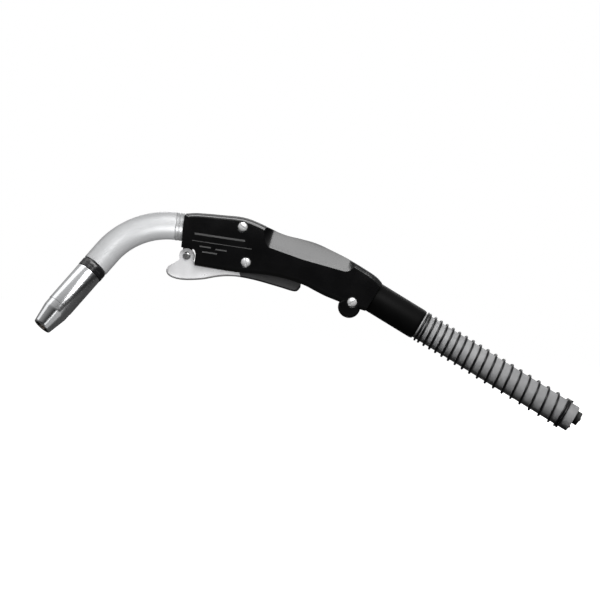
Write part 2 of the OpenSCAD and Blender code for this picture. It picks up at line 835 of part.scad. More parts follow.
module strain_relief_sleeve() {
    color("#202124") in_place() difference() {
        union() {
            at_tail(-spigot_len) cylinder(d = flange_od, h = spigot_len - neck_of_spigot);
            at_tail(-spigot_len) cylinder(d = spigot_od, h = spigot_len + 1);
            at_tail(fit) cylinder(d = sleeve_od, h = sleeve_len - fit);
        }
        at_tail(0.1 - fit) cylinder(d = cable_od + 2 * fit, h = sleeve_len + 1);
        at_tail(-spigot_len - 1, core_offset) cylinder(d = core_od + 2 * fit, h = spigot_len + 2);
        for (side = [-1, 1]) translate([0, side * lead_y, 0])
            at_tail(-spigot_len - 1, -lead_drop)
                cylinder(d = lead_d + 2 * fit, h = spigot_len + 2);
    }
}

// Rise of the bend spring after so many turns: closed, opening out, closed
function open_rise(n) =
    spring_pitch * n + (last_pitch - spring_pitch) * n * n / (2 * spring_turns);
function spring_rise(n) =
    n < 1 ? close_pitch * n
    : n < 1 + spring_turns ? close_pitch + open_rise(n - 1)
    : close_pitch + open_len + close_pitch * (n - 1 - spring_turns);

module strain_relief_spring() {
    turns = spring_turns + 3;
    steps = 20 * turns;
    color("#26272a") in_place() at_tail(sleeve_len + wire_d / 2 + fit) rotate([0, 0, 180])
        helix(cable_od + 0.5 + wire_d, wire_d, turns,
            [for (i = [0 : steps]) spring_rise(turns * i / steps)]);
}

neck_armour();
neck_collar();
neck_insulation();
conductor_tube();
neck_liner();
nozzle_insulator();
gas_diffuser();
contact_tip();
nozzle();
handle_left();
handle_right();
handle_screws();
handle_nuts();
connector_block();
neck_clamp_screw();
cable_terminal();
crimp_sleeve();
trigger_lever();
trigger_pin();
switch_housing();
switch_cover();
switch_plunger();
plunger_spring();
switch_contacts();
lead_terminals();
control_leads();
cable_liner();
gas_conduit();
copper_strands();
core_insulation();
cable_jacket();
cable_filler();
strain_relief_sleeve();
strain_relief_spring();
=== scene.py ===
import math
import bpy
import bmesh
from mathutils import Matrix, Vector


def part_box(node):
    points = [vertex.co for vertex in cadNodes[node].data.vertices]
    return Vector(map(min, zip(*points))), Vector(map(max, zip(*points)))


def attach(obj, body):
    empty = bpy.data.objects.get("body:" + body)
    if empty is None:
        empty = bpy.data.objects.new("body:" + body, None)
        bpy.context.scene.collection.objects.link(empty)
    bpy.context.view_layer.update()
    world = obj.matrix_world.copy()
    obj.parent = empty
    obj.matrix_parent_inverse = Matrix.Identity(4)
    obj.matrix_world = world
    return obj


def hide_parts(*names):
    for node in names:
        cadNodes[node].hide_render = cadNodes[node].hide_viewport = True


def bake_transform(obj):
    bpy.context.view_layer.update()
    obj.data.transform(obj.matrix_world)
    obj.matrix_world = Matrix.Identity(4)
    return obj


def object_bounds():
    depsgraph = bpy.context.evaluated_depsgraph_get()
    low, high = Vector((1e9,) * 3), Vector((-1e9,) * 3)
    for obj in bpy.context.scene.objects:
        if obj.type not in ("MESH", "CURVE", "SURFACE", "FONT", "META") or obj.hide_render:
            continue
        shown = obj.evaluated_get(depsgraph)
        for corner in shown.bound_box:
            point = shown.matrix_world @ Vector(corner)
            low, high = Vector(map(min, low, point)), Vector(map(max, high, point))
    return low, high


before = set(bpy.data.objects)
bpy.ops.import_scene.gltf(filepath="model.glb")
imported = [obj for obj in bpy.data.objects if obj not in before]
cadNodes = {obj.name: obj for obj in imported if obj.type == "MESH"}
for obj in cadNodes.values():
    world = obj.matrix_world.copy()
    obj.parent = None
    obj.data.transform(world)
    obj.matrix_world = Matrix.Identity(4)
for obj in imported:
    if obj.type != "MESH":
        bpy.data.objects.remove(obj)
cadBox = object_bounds()
print("frame loaded:", len(cadNodes), "nodes")

# Every piece is shaped in millimetres from the neck's socket centre, then placed in the row frame
socketAt = Vector((-0.090, 0.0, 0.017))
toRow = Matrix.Translation(socketAt) @ Matrix.Scale(0.001, 4)
bendStart, bendRadius, bendAngle = 6.35, 62.0, math.radians(57)
neckTurned = Matrix.Rotation(math.radians(-17), 4, "X")
neckEnd = (
    neckTurned
    @ Matrix.Translation((-bendStart - bendRadius * math.sin(bendAngle), 0, bendRadius * (math.cos(bendAngle) - 1)))
    @ Matrix.Rotation(-math.pi / 2 - bendAngle, 4, "Y")
)
rearX, rearZ, tailTilt = 157.0, -38.5, math.radians(25)
tailPlace = Matrix.Translation((rearX, 0, rearZ)) @ Matrix.Rotation(math.pi / 2 + tailTilt, 4, "Y")
facing = Matrix.Rotation(math.pi / 2, 4, "X")  # +Z of a turned shape to the left side, -Y
rearward = Matrix.Rotation(math.pi / 2, 4, "Y")  # +Z of a turned shape to the cable, +X


def tailPoint(along, up):
    c, s = math.cos(tailTilt), math.sin(tailTilt)
    return (rearX + along * c + up * s, rearZ - along * s + up * c)


def crossAt(x, z, y=0):
    # A place whose +Z runs to the left side
    return Matrix.Translation((x, y, z)) @ facing


def angles(first, last, step):
    return [math.radians(d) for d in range(first, last, step)]


# ---- Camera, looking square at the left side ----

camera = {"target": (0.0088, 0, -0.0305), "distance": 3.0, "lens": 225, "roll": 6.5, "sensor": 36, "farthest": 50}
cam = bpy.data.objects.new("camera", bpy.data.cameras.new("camera"))
bpy.context.scene.collection.objects.link(cam)
cam.data.lens = camera["lens"]
cam.data.sensor_width = camera["sensor"]
cam.data.clip_end = camera["farthest"]
roll = math.radians(camera["roll"])
right, up = Vector((math.cos(roll), 0, math.sin(roll))), Vector((-math.sin(roll), 0, math.cos(roll)))
back = right.cross(up)
turn = Matrix((right, up, back)).transposed().to_4x4()
cam.matrix_world = Matrix.Translation(Vector(camera["target"]) + back * camera["distance"]) @ turn
bpy.context.scene.camera = cam
bpy.context.scene.view_settings.view_transform = "Standard"

# ---- Shared shader groups ----


def newGroup(name, inputs, outputs):
    # Each input goes with its usual value, and None stands for a vector
    tree = bpy.data.node_groups.new(name, "ShaderNodeTree")
    for label, value in inputs.items():
        kind = "NodeSocketVector" if value is None else "NodeSocketFloat"
        socket = tree.interface.new_socket(name=label, in_out="INPUT", socket_type=kind)
        if value is not None:
            socket.default_value = value
    for label in outputs:
        tree.interface.new_socket(name=label, in_out="OUTPUT", socket_type="NodeSocketFloat")
    return tree, tree.nodes.new("NodeGroupInput"), tree.nodes.new("NodeGroupOutput")


def addNode(tree, kind, settings=None, **inputs):
    # An input goes by its name, or by its number as i0, i1 and so on
    node = tree.nodes.new(kind)
    for key, value in (settings or {}).items():
        setattr(node, key, value)
    for key, value in inputs.items():
        socket = node.inputs[int(key[1:]) if key[1:].isdigit() else key]
        if isinstance(value, bpy.types.NodeSocket):
            tree.links.new(value, socket)
        else:
            socket.default_value = value
    return node


def mathNode(tree, operation, a, b, c=0.0, clamp=False):
    settings = {"operation": operation, "use_clamp": clamp}
    return addNode(tree, "ShaderNodeMath", settings, i0=a, i1=b, i2=c).outputs[0]


def rangeNode(tree, value, low, high, toLow=0.0, toHigh=1.0):
    settings = {"interpolation_type": "SMOOTHSTEP"}
    return addNode(tree, "ShaderNodeMapRange", settings, i0=value, i1=low, i2=high, i3=toLow, i4=toHigh).outputs[0]


def noiseNode(tree, vector, scale, detail, rough=0.55):
    node = addNode(tree, "ShaderNodeTexNoise", Vector=vector, Scale=scale, Detail=detail, Roughness=rough)
    return node.outputs[0]


# Mask of worn edges: where a rounded normal leaves the face's own
wearShape = {"samples": 4, "edge": (0.99, 0.86), "patchScale": 160.0, "patch": (0.42, 0.62)}
wearGroup, groupIn, groupOut = newGroup("edgeWear", {"Place": None, "Radius": 0.0006, "Amount": 0.6}, ["Mask"])
bevelNode = addNode(wearGroup, "ShaderNodeBevel", {"samples": wearShape["samples"]}, Radius=groupIn.outputs["Radius"])
faceNormal = addNode(wearGroup, "ShaderNodeNewGeometry").outputs["Normal"]
dotNode = addNode(
    wearGroup, "ShaderNodeVectorMath", {"operation": "DOT_PRODUCT"}, i0=bevelNode.outputs[0], i1=faceNormal,
)
edgeMask = rangeNode(wearGroup, dotNode.outputs["Value"], *wearShape["edge"])
patches = noiseNode(wearGroup, groupIn.outputs["Place"], wearShape["patchScale"], 5.0)
worn = mathNode(wearGroup, "MULTIPLY", edgeMask, rangeNode(wearGroup, patches, *wearShape["patch"]))
worn = mathNode(wearGroup, "MULTIPLY", worn, groupIn.outputs["Amount"], clamp=True)
wearGroup.links.new(worn, groupOut.inputs["Mask"])

# Fine grain and slow blotches, as one height and two masks
grainShape = {"fine": (0.3, 0.7), "slow": (0.32, 0.68), "slowShare": 0.35}
grainGroup, groupIn, groupOut = newGroup(
    "skinGrain", {"Place": None, "Grain": 2500.0, "Blotch": 45.0}, ["Fine", "Slow", "Height"],
)
fineNoise = noiseNode(grainGroup, groupIn.outputs["Place"], groupIn.outputs["Grain"], 3.0)
slowNoise = noiseNode(grainGroup, groupIn.outputs["Place"], groupIn.outputs["Blotch"], 5.0)
grainGroup.links.new(rangeNode(grainGroup, fineNoise, *grainShape["fine"]), groupOut.inputs["Fine"])
grainGroup.links.new(rangeNode(grainGroup, slowNoise, *grainShape["slow"]), groupOut.inputs["Slow"])
height = mathNode(grainGroup, "MULTIPLY_ADD", slowNoise, grainShape["slowShare"], fineNoise)
grainGroup.links.new(height, groupOut.inputs["Height"])

# Fine tool lines round an axis; Place has that axis as its Z
turnedShape = {"stretch": (0.02, 0.02, 1.0), "line": (0.35, 0.65)}
turnedGroup, groupIn, groupOut = newGroup("turnedLines", {"Place": None, "Lines": 3500.0}, ["Line", "Height"])
axisOnly = addNode(
    turnedGroup, "ShaderNodeVectorMath", {"operation": "MULTIPLY"},
    i0=groupIn.outputs["Place"], i1=turnedShape["stretch"],
)
lineNoise = noiseNode(turnedGroup, axisOnly.outputs[0], groupIn.outputs["Lines"], 3.0, 0.7)
turnedGroup.links.new(rangeNode(turnedGroup, lineNoise, *turnedShape["line"]), groupOut.inputs["Line"])
turnedGroup.links.new(lineNoise, groupOut.inputs["Height"])

# Dust, mostly on faces that look up
dustShape = {"slope": (0.1, 1.0, 0.15, 1.0), "cloudScale": 90.0, "cloud": (0.45, 0.8)}
dustGroup, groupIn, groupOut = newGroup("settledDust", {"Place": None, "Amount": 0.3}, ["Mask"])
dustNormal = addNode(dustGroup, "ShaderNodeNewGeometry").outputs["Normal"]
upward = addNode(dustGroup, "ShaderNodeSeparateXYZ", i0=dustNormal).outputs[2]
lying = rangeNode(dustGroup, upward, *dustShape["slope"])
clouds = noiseNode(dustGroup, groupIn.outputs["Place"], dustShape["cloudScale"], 8.0, 0.7)
dusty = mathNode(dustGroup, "MULTIPLY", lying, rangeNode(dustGroup, clouds, *dustShape["cloud"]))
dusty = mathNode(dustGroup, "MULTIPLY", dusty, groupIn.outputs["Amount"], clamp=True)
dustGroup.links.new(dusty, groupOut.inputs["Mask"])
print("shader groups made")

# ---- Materials ----


def placeNode(tree, axis):
    coord = addNode(tree, "ShaderNodeTexCoord").outputs["Object"]
    if axis is None:
        return coord
    origin, direction = axis  # the pattern's Z runs along direction through origin
    spin = Vector(direction).to_track_quat("Z", "Y").to_euler()
    settings = {"vector_type": "TEXTURE"}
    return addNode(tree, "ShaderNodeMapping", settings, Vector=coord, Location=origin, Rotation=spin).outputs[0]


def useGroup(tree, group, **inputs):
    return addNode(tree, "ShaderNodeGroup", {"node_tree": group}, **inputs).outputs


def mixColour(tree, factor, a, b):
    a, b = ((*value, 1) if isinstance(value, tuple) else value for value in (a, b))
    return addNode(tree, "ShaderNodeMix", {"data_type": "RGBA"}, i0=factor, i6=a, i7=b).outputs[2]


usual = {
    "grain": 2500.0, "blotch": 45.0, "secondShade": 0.82, "lineShade": 0.3, "lineDark": 0.55, "wearRadius": 0.0006,
    "wornRough": 0.15, "dustColour": (0.42, 0.41, 0.40), "dustRough": 0.3, "bumpDepth": 0.0001,
}


def finishMaterial(name, look):
    material = bpy.data.materials.new(name)
    material.use_nodes = True
    tree = material.node_tree
    shader = tree.nodes["Principled BSDF"]
    place = placeNode(tree, look.get("axis"))
    grain = useGroup(tree, grainGroup, Place=place, Grain=look.get("grain", usual["grain"]), Blotch=usual["blotch"])
    second = look.get("colour2", tuple(usual["secondShade"] * c for c in look["colour"]))
    colour = mixColour(tree, grain["Slow"], look["colour"], second)
    low, high = look["rough"]
    roughness = mathNode(tree, "MULTIPLY_ADD", grain["Fine"], (high - low) * 0.5, low)
    roughness = mathNode(tree, "MULTIPLY_ADD", grain["Slow"], (high - low) * 0.5, roughness)
    height = grain["Height"]
    if "lines" in look:
        lines = useGroup(tree, turnedGroup, Place=place, Lines=look["lines"])
        height = lines["Height"]
        shade = mathNode(tree, "MULTIPLY", lines["Line"], look.get("lineShade", usual["lineShade"]))
        colour = mixColour(tree, shade, colour, tuple(usual["lineDark"] * c for c in look["colour"]))
    if "wear" in look:
        amount, wornColour = look["wear"]
        mask = useGroup(tree, wearGroup, Place=place, Amount=amount, Radius=usual["wearRadius"])["Mask"]
        colour = mixColour(tree, mask, colour, wornColour)
        roughness = mathNode(tree, "MULTIPLY_ADD", mask, usual["wornRough"], roughness)
    if "dust" in look:
        mask = useGroup(tree, dustGroup, Place=place, Amount=look["dust"])["Mask"]
        colour = mixColour(tree, mask, colour, usual["dustColour"])
        roughness = mathNode(tree, "MULTIPLY_ADD", mask, usual["dustRough"], roughness)
    tree.links.new(colour, shader.inputs["Base Color"])
    tree.links.new(roughness, shader.inputs["Roughness"])
    bump = addNode(tree, "ShaderNodeBump", Strength=look["bump"], Distance=usual["bumpDepth"], Height=height)
    tree.links.new(bump.outputs[0], shader.inputs["Normal"])
    shader.inputs["Metallic"].default_value = look.get("metal", 0.0)
    shader.inputs["Specular IOR Level"].default_value = look.get("specular", 0.5)
    return material


def axisOf(place):
    return (tuple(toRow @ (place @ Vector((0, 0, 0)))), tuple(place.to_3x3() @ Vector((0, 0, 1))))


def grey(value):
    return (value, value, value)


nozzleAxis, tailAxis, sideAxis = axisOf(neckEnd), axisOf(tailPlace), ((0, 0, 0), (0, -1, 0))

looks = {
    "jacketAluminium": {
        "colour": (0.5, 0.505, 0.512), "colour2": (0.45, 0.455, 0.462), "rough": (0.4, 0.52), "metal": 0.3,
        "grain": 1800.0, "bump": 0.12, "dust": 0.12,
    },
    "collarSteel": {
        "colour": (0.42, 0.425, 0.43), "rough": (0.3, 0.45), "metal": 0.4, "lines": 2500.0,
        "axis": ((-0.093, 0, 0.017), (1, 0, 0)), "bump": 0.1,
    },
    "ringPhenolic": {
        "colour": (0.012, 0.012, 0.013), "rough": (0.16, 0.34), "grain": 1400.0, "bump": 0.1, "wear": (0.5, grey(0.16)),
        "dust": 0.15,
    },
    "nozzleChrome": {
        "colour": (0.86, 0.87, 0.88), "colour2": (0.78, 0.79, 0.80), "rough": (0.16, 0.24), "metal": 1.0,
        "lines": 3000.0, "lineShade": 0.05, "axis": nozzleAxis, "bump": 0.0, "wear": (0.2, (0.55, 0.55, 0.56)),
    },
    "tipCopper": {
        "colour": (0.82, 0.68, 0.56), "rough": (0.2, 0.36), "metal": 1.0, "lines": 4000.0, "axis": nozzleAxis,
        "bump": 0.06,
    },
    "handleMoulding": {
        "colour": (0.0018, 0.0018, 0.002), "colour2": (0.003, 0.003, 0.0033), "rough": (0.17, 0.23), "grain": 3200.0,
        "bump": 0.03, "wear": (0.15, grey(0.02)), "dust": 0.002,
    },
    "screwSteel": {
        "colour": grey(0.9), "colour2": grey(0.84), "rough": (0.26, 0.4), "metal": 0.45, "lines": 5000.0,
        "lineShade": 0.1, "axis": sideAxis, "bump": 0.05,
    },
    "leverSteel": {
        "colour": (0.86, 0.86, 0.87), "colour2": (0.76, 0.76, 0.77), "rough": (0.25, 0.42), "metal": 0.55,
        "grain": 1500.0, "bump": 0.08, "dust": 0.1,
    },
    # Black finish on the rear of the trigger lever: painted shade, standing in for the dark reflection and shadow there
    "leverRearPaintedShade": {
        "colour": (0.012, 0.012, 0.013), "colour2": (0.02, 0.02, 0.021), "rough": (0.28, 0.42), "grain": 1600.0,
        "bump": 0.12, "dust": 0.03,
    },
    "pinSteel": {
        "colour": grey(0.9), "rough": (0.15, 0.3), "metal": 0.9, "lines": 5000.0, "axis": sideAxis, "bump": 0.04,
    },
    "sleeveRubber": {
        "colour": grey(0.003), "colour2": grey(0.005), "rough": (0.5, 0.65), "specular": 0.12, "grain": 1800.0,
        "bump": 0.15, "axis": tailAxis, "dust": 0.008,
    },
    "jacketRubber": {
        "colour": (0.26, 0.26, 0.263), "colour2": (0.2, 0.2, 0.203), "rough": (0.5, 0.7), "grain": 1500.0, "bump": 0.3,
        "axis": tailAxis, "dust": 0.25,
    },
    "springBlack": {
        "colour": (0.004, 0.004, 0.0044), "colour2": (0.008, 0.008, 0.0084), "rough": (0.3, 0.45), "metal": 0.3,
        "bump": 0.08, "wear": (0.3, grey(0.1)), "dust": 0.01,
    },
    "coreRubber": {"colour": grey(0.03), "rough": (0.5, 0.7), "grain": 1800.0, "bump": 0.25, "axis": tailAxis},
    "copperStrand": {
        "colour": (0.72, 0.36, 0.2), "rough": (0.25, 0.42), "metal": 1.0, "grain": 1200.0, "bump": 0.1,
        "axis": tailAxis,
    },
    "linerSteel": {
        "colour": (0.42, 0.43, 0.45), "rough": (0.25, 0.4), "metal": 1.0, "lines": 900.0, "lineShade": 0.6,
        "axis": tailAxis, "bump": 0.5,
    },
    "brassTurned": {
        "colour": (0.78, 0.58, 0.28), "rough": (0.2, 0.38), "metal": 1.0, "lines": 3000.0, "axis": nozzleAxis,
        "bump": 0.06,
    },
    "brassBlock": {
        "colour": (0.74, 0.54, 0.26), "rough": (0.25, 0.42), "metal": 1.0, "lines": 2500.0,
        "axis": ((-0.06, 0, 0.014), (1, 0, 0)), "bump": 0.06,
    },
    "insulatorSleeve": {"colour": (0.06, 0.055, 0.05), "rough": (0.4, 0.6), "grain": 1500.0, "bump": 0.15},
    "setScrewBlack": {"colour": (0.02, 0.02, 0.022), "rough": (0.3, 0.5), "metal": 0.7, "bump": 0.1},
    "switchBlack": {
        "colour": (0.015, 0.015, 0.016), "rough": (0.3, 0.5), "grain": 2800.0, "bump": 0.15, "wear": (0.4, grey(0.09)),
    },
    "switchCover": {"colour": (0.16, 0.16, 0.17), "rough": (0.35, 0.5), "grain": 2800.0, "bump": 0.12},
    "plungerWhite": {"colour": (0.72, 0.7, 0.64), "rough": (0.3, 0.48), "grain": 2200.0, "bump": 0.1},
    "springSteel": {"colour": (0.6, 0.6, 0.61), "rough": (0.2, 0.35), "metal": 1.0, "bump": 0.06},
    "leadRed": {"colour": (0.4, 0.03, 0.02), "rough": (0.32, 0.48), "grain": 1500.0, "bump": 0.1},
    "conduitWhite": {"colour": (0.62, 0.61, 0.57), "rough": (0.35, 0.5), "grain": 1500.0, "bump": 0.1},
    "fillerTan": {"colour": (0.3, 0.24, 0.16), "rough": (0.7, 0.9), "grain": 900.0, "bump": 0.5, "axis": tailAxis},
    "printPale": {"colour": grey(0.085), "colour2": grey(0.05), "rough": (0.4, 0.6), "bump": 0.1},
}
materials = {name: finishMaterial(name, look) for name, look in looks.items()}
print("materials made:", len(materials))

# Nodes of the frame that show as they are, each with its finish
plainNodes = {
    "neck_insulation": "insulatorSleeve", "conductor_tube": "copperStrand", "neck_liner": "linerSteel",
    "gas_diffuser": "brassTurned", "connector_block": "brassBlock", "neck_clamp_screw": "setScrewBlack",
    "cable_terminal": "brassBlock", "crimp_sleeve": "copperStrand", "switch_housing": "switchBlack",
    "switch_cover": "switchCover", "switch_plunger": "plungerWhite", "switch_contacts": "brassBlock",
    "lead_terminals": "brassBlock", "control_leads": "leadRed", "cable_liner": "linerSteel",
    "gas_conduit": "conduitWhite", "copper_strands": "copperStrand", "cable_filler": "fillerTan",
    "core_insulation": "coreRubber",
}
for nodeName, materialName in plainNodes.items():
    slots = cadNodes[nodeName].data.materials
    slots.clear()
    slots.append(materials[materialName])
print("frame nodes finished:", len(plainNodes))

# ---- Tools for shaping ----


def everything(bm):
    return bm.verts[:] + bm.edges[:] + bm.faces[:]


def faceOut(bm):
    bmesh.ops.recalc_face_normals(bm, faces=bm.faces[:])


def lathe(profile, place=Matrix.Identity(4), steps=72):
    # The profile is a closed line of (radius, height); what lies on the axis isn't spun
    bm = bmesh.new()
    verts = [bm.verts.new((r, 0, z)) for r, z in profile]
    pairs = zip(verts, verts[1:] + verts[:1])
    edges = [bm.edges.new(pair) for pair in pairs if max(pair[0].co.x, pair[1].co.x) > 0]
    bmesh.ops.spin(
        bm, geom=verts + edges, cent=(0, 0, 0), axis=(0, 0, 1), angle=2 * math.pi, steps=steps, use_merge=True,
    )
    cleanUp(bm)
    bm.transform(place)
    return bm


def cleanUp(bm, near=0.002):
    bmesh.ops.remove_doubles(bm, verts=bm.verts[:], dist=near)
    bmesh.ops.dissolve_degenerate(bm, edges=bm.edges[:], dist=near)
    faceOut(bm)


def pushedOut(outline, start, depth):
    # An outline of (x, z) points at y = start, pushed to the left by depth
    bm = bmesh.new()
    face = bm.faces.new([bm.verts.new((x, start, z)) for x, z in outline])
    made = bmesh.ops.extrude_face_region(bm, geom=[face])
    moved = [v for v in made["geom"] if isinstance(v, bmesh.types.BMVert)]
    bmesh.ops.translate(bm, verts=moved, vec=(0, -depth, 0))
    faceOut(bm)
    return bm


def bevelEdges(bm, edges, offset, segments, clamp=True):
    bmesh.ops.bevel(
        bm, geom=edges, offset=offset, offset_type="OFFSET", segments=segments, profile=0.5,
        affect="EDGES", clamp_overlap=clamp, material=-1,
    )


def sharpEdges(bm, degrees):
    limit = math.radians(degrees)
    return [e for e in bm.edges if len(e.link_faces) == 2 and e.calc_face_angle(0) > limit]


def smoothKnots(knots, steps):
    points = []
    for i in range(len(knots) - 1):
        a, b, c, d = knots[max(i - 1, 0)], knots[i], knots[i + 1], knots[min(i + 2, len(knots) - 1)]
        for step in range(steps):
            u = step / steps
            points.append(tuple(
                0.5 * (2 * q + (r - p) * u + (2 * p - 5 * q + 4 * r - t) * u**2 + (3 * q - p - 3 * r + t) * u**3)
                for p, q, r, t in zip(a, b, c, d)
            ))
    return points + [knots[-1]]


def asObject(bm, name, smooth):
    mesh = bpy.data.meshes.new(name)
    bm.to_mesh(mesh)
    bm.free()
    obj = bpy.data.objects.new(name, mesh)
    bpy.context.scene.collection.objects.link(obj)
    if smooth:
        mesh.shade_smooth()
        mesh.set_sharp_from_angle(angle=math.radians(smooth))
    return obj


def carve(bm, *steps):
    # Each step is a shape to cut away, or a shape with UNION or INTERSECT
    obj = asObject(bm, "carved", 0)
    for step in steps:
        shape, how = step if isinstance(step, tuple) else (step, "DIFFERENCE")
        tool = asObject(shape, "tool", 0)
        modifier = obj.modifiers.new("carve", "BOOLEAN")
        modifier.operation, modifier.solver, modifier.object = how, "EXACT", tool
        bpy.context.view_layer.update()
        mesh = bpy.data.meshes.new_from_object(obj.evaluated_get(bpy.context.evaluated_depsgraph_get()))
        obj.modifiers.clear()
        obj.data = mesh
        bpy.data.objects.remove(tool)
    result = bmesh.new()
    result.from_mesh(obj.data)
    bpy.data.objects.remove(obj)
    bmesh.ops.remove_doubles(result, verts=result.verts[:], dist=0.001)
    bmesh.ops.dissolve_degenerate(result, edges=result.edges[:], dist=0.001)
    return result


def cylinderAt(diameter, depth, place, steps=48):
    # Stands on place and runs along its +Z
    half = diameter / 2
    return lathe([(0, 0), (half, 0), (half, depth), (0, depth)], place, steps)


def boxAt(low, high):
    bm = bmesh.new()
    bmesh.ops.create_cube(bm, size=1)
    size = [h - l for l, h in zip(low, high)]
    middle = [(h + l) / 2 for l, h in zip(low, high)]
    bm.transform(Matrix.Translation(middle) @ Matrix.Diagonal((*size, 1)))
    return bm


def addPiece(bm, name, body, material, replaced, smooth=30):
    bm.transform(toRow)
    obj = asObject(bm, name, smooth)
    obj.data.materials.append(materials[material])
    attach(obj, body)
    if replaced:
        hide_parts(*replaced)
    return obj


# ---- Neck ----

neck = {
    "diameter": 22.2, "wall": 1.6, "front": 14.5, "lipLength": 1.2, "lip": 0.5, "collar": 11.3, "collarLength": 6.0,
    "collarBore": 9.5, "gap": 0.02, "steps": 48, "round": 64,
}


def makeArmour():
    # A circle spun round the bend, led on to the ring, then given its wall
    bm = bmesh.new()
    bendCentre = Vector((-bendStart, 0, -bendRadius))
    made = bmesh.ops.create_circle(bm, cap_ends=False, radius=neck["diameter"] / 2, segments=neck["round"])
    bmesh.ops.rotate(bm, verts=made["verts"], cent=(0, 0, 0), matrix=rearward.to_3x3())
    bmesh.ops.translate(bm, verts=made["verts"], vec=(-bendStart, 0, 0))
    spun = bmesh.ops.spin(
        bm, geom=bm.verts[:] + bm.edges[:], cent=bendCentre, axis=(0, -1, 0), angle=bendAngle, steps=neck["steps"],
    )
    frontEdges = [e for e in spun["geom_last"] if isinstance(e, bmesh.types.BMEdge)]
    forward = Vector((-math.cos(bendAngle), 0, -math.sin(bendAngle)))
    reached = 0
    for stop in (neck["front"] - neck["lipLength"], neck["front"]):
        made = bmesh.ops.extrude_edge_only(bm, edges=frontEdges)
        frontEdges = [g for g in made["geom"] if isinstance(g, bmesh.types.BMEdge) and g.is_boundary]
        verts = {v for e in frontEdges for v in e.verts}
        bmesh.ops.translate(bm, verts=list(verts), vec=forward * (stop - reached))
        reached = stop
    bmesh.ops.remove_doubles(bm, verts=bm.verts[:], dist=0.001)
    faceOut(bm)
    upperFaces = [f for f in bm.faces if f.calc_center_median().z > 5]
    if sum(f.normal.dot(f.calc_center_median() - bendCentre) for f in upperFaces) < 0:
        bmesh.ops.reverse_faces(bm, faces=bm.faces[:])
    bmesh.ops.solidify(bm, geom=bm.faces[:], thickness=neck["wall"])
    faceOut(bm)
    bevelEdges(bm, sharpEdges(bm, 60), neck["lip"], 3)
    bm.transform(neckTurned)
    return bm


def collarProfile(bore, outer, long):
    # A shallow groove runs round the middle
    return [
        (bore, 0), (outer - 0.3, 0), (outer, 0.3), (outer, 2.2), (outer - 0.25, 2.5), (outer - 0.25, 3.1), (outer, 3.4),
        (outer, long - 0.4), (outer - 0.3, long), (bore, long),
    ]


addPiece(makeArmour(), "gooseneck_jacket", "neck", "jacketAluminium", ["neck_armour"])
collarBm = lathe(
    collarProfile(neck["collarBore"], neck["collar"], neck["collarLength"]),
    neckTurned @ Matrix.Translation((-bendStart + neck["gap"], 0, 0)) @ rearward,
)
addPiece(collarBm, "gooseneck_collar", "neck", "collarSteel", ["neck_collar"])

ring = {"rear": 14.5, "front": 22.3, "outer": 11.1, "sleeve": 8.94, "end": 36.3, "bore": 7.83}


def ringProfile(rear, front, outer, sleeve, end, bore):
    # A chamfered ring with one groove, and the sleeve that the nozzle slips on
    return [
        (bore, rear), (9.9, rear), (10.35, rear + 0.3), (11.0, rear + 1.6), (outer, rear + 1.9), (outer, rear + 4.1),
        (outer - 0.15, rear + 4.3), (outer - 0.15, rear + 4.9), (outer, rear + 5.1), (outer, front - 0.4),
        (outer - 0.2, front - 0.1), (outer - 0.4, front), (sleeve, front), (sleeve, end - 0.5), (sleeve - 0.5, end),
        (bore, end),
    ]


ringBm = lathe(ringProfile(**ring), neckEnd)
addPiece(ringBm, "insulator_ring", "neck", "ringPhenolic", ["nozzle_insulator"])

nozzle = {
    "rear": 22.4, "outer": 10.8, "inner": 9.0, "step": 58.3, "taper": 64.7, "end": 80.6, "mouth": 7.8, "mouthBore": 6.3,
}


def nozzleProfile(rear, outer, inner, step, taper, end, mouth, mouthBore):
    return [
        (inner, rear + 0.3), (inner + 0.3, rear), (outer - 0.5, rear), (outer - 0.15, rear + 0.15), (outer, rear + 0.5),
        (outer, step - 0.12), (outer - 0.08, step), (outer - 0.3, step + 0.12), (outer - 0.3, step + 0.4),
        (outer - 0.3, taper - 0.8), (outer - 0.36, taper), (outer - 0.55, taper + 1.0),
        (mouth + 0.12, end - 1.8), (mouth - 0.05, end - 0.9), (mouth - 0.3, end - 0.3), (mouth - 0.7, end),
        (mouthBore + 0.35, end), (mouthBore, end - 0.35), (mouthBore, end - 3.0), (inner, taper),
    ]


nozzleBm = lathe(nozzleProfile(**nozzle), neckEnd, 96)
addPiece(nozzleBm, "nozzle_shell", "nozzle", "nozzleChrome", ["nozzle"])

tip = {"bore": 0.65, "seat": 32.3, "shoulder": 41.2, "outer": 4.0, "taper": 69.0, "nose": 2.75, "end": 79.4}


def tipProfile(bore, seat, shoulder, outer, taper, nose, end):
    return [
        (bore, seat), (2.6, seat), (2.97, seat + 0.4), (2.97, shoulder), (outer - 0.3, shoulder + 0.1),
        (outer, shoulder + 0.4), (outer, taper), (outer - 0.1, taper + 0.8), (nose, end - 0.5),
        (nose - 0.25, end - 0.1), (nose - 0.55, end), (bore + 0.3, end), (bore, end - 0.3),
    ]


tipBm = lathe(tipProfile(**tip), neckEnd, 64)
addPiece(tipBm, "contact_tip_turned", "neck", "tipCopper", ["contact_tip"])
print("neck and nozzle made")

# ---- Handle ----

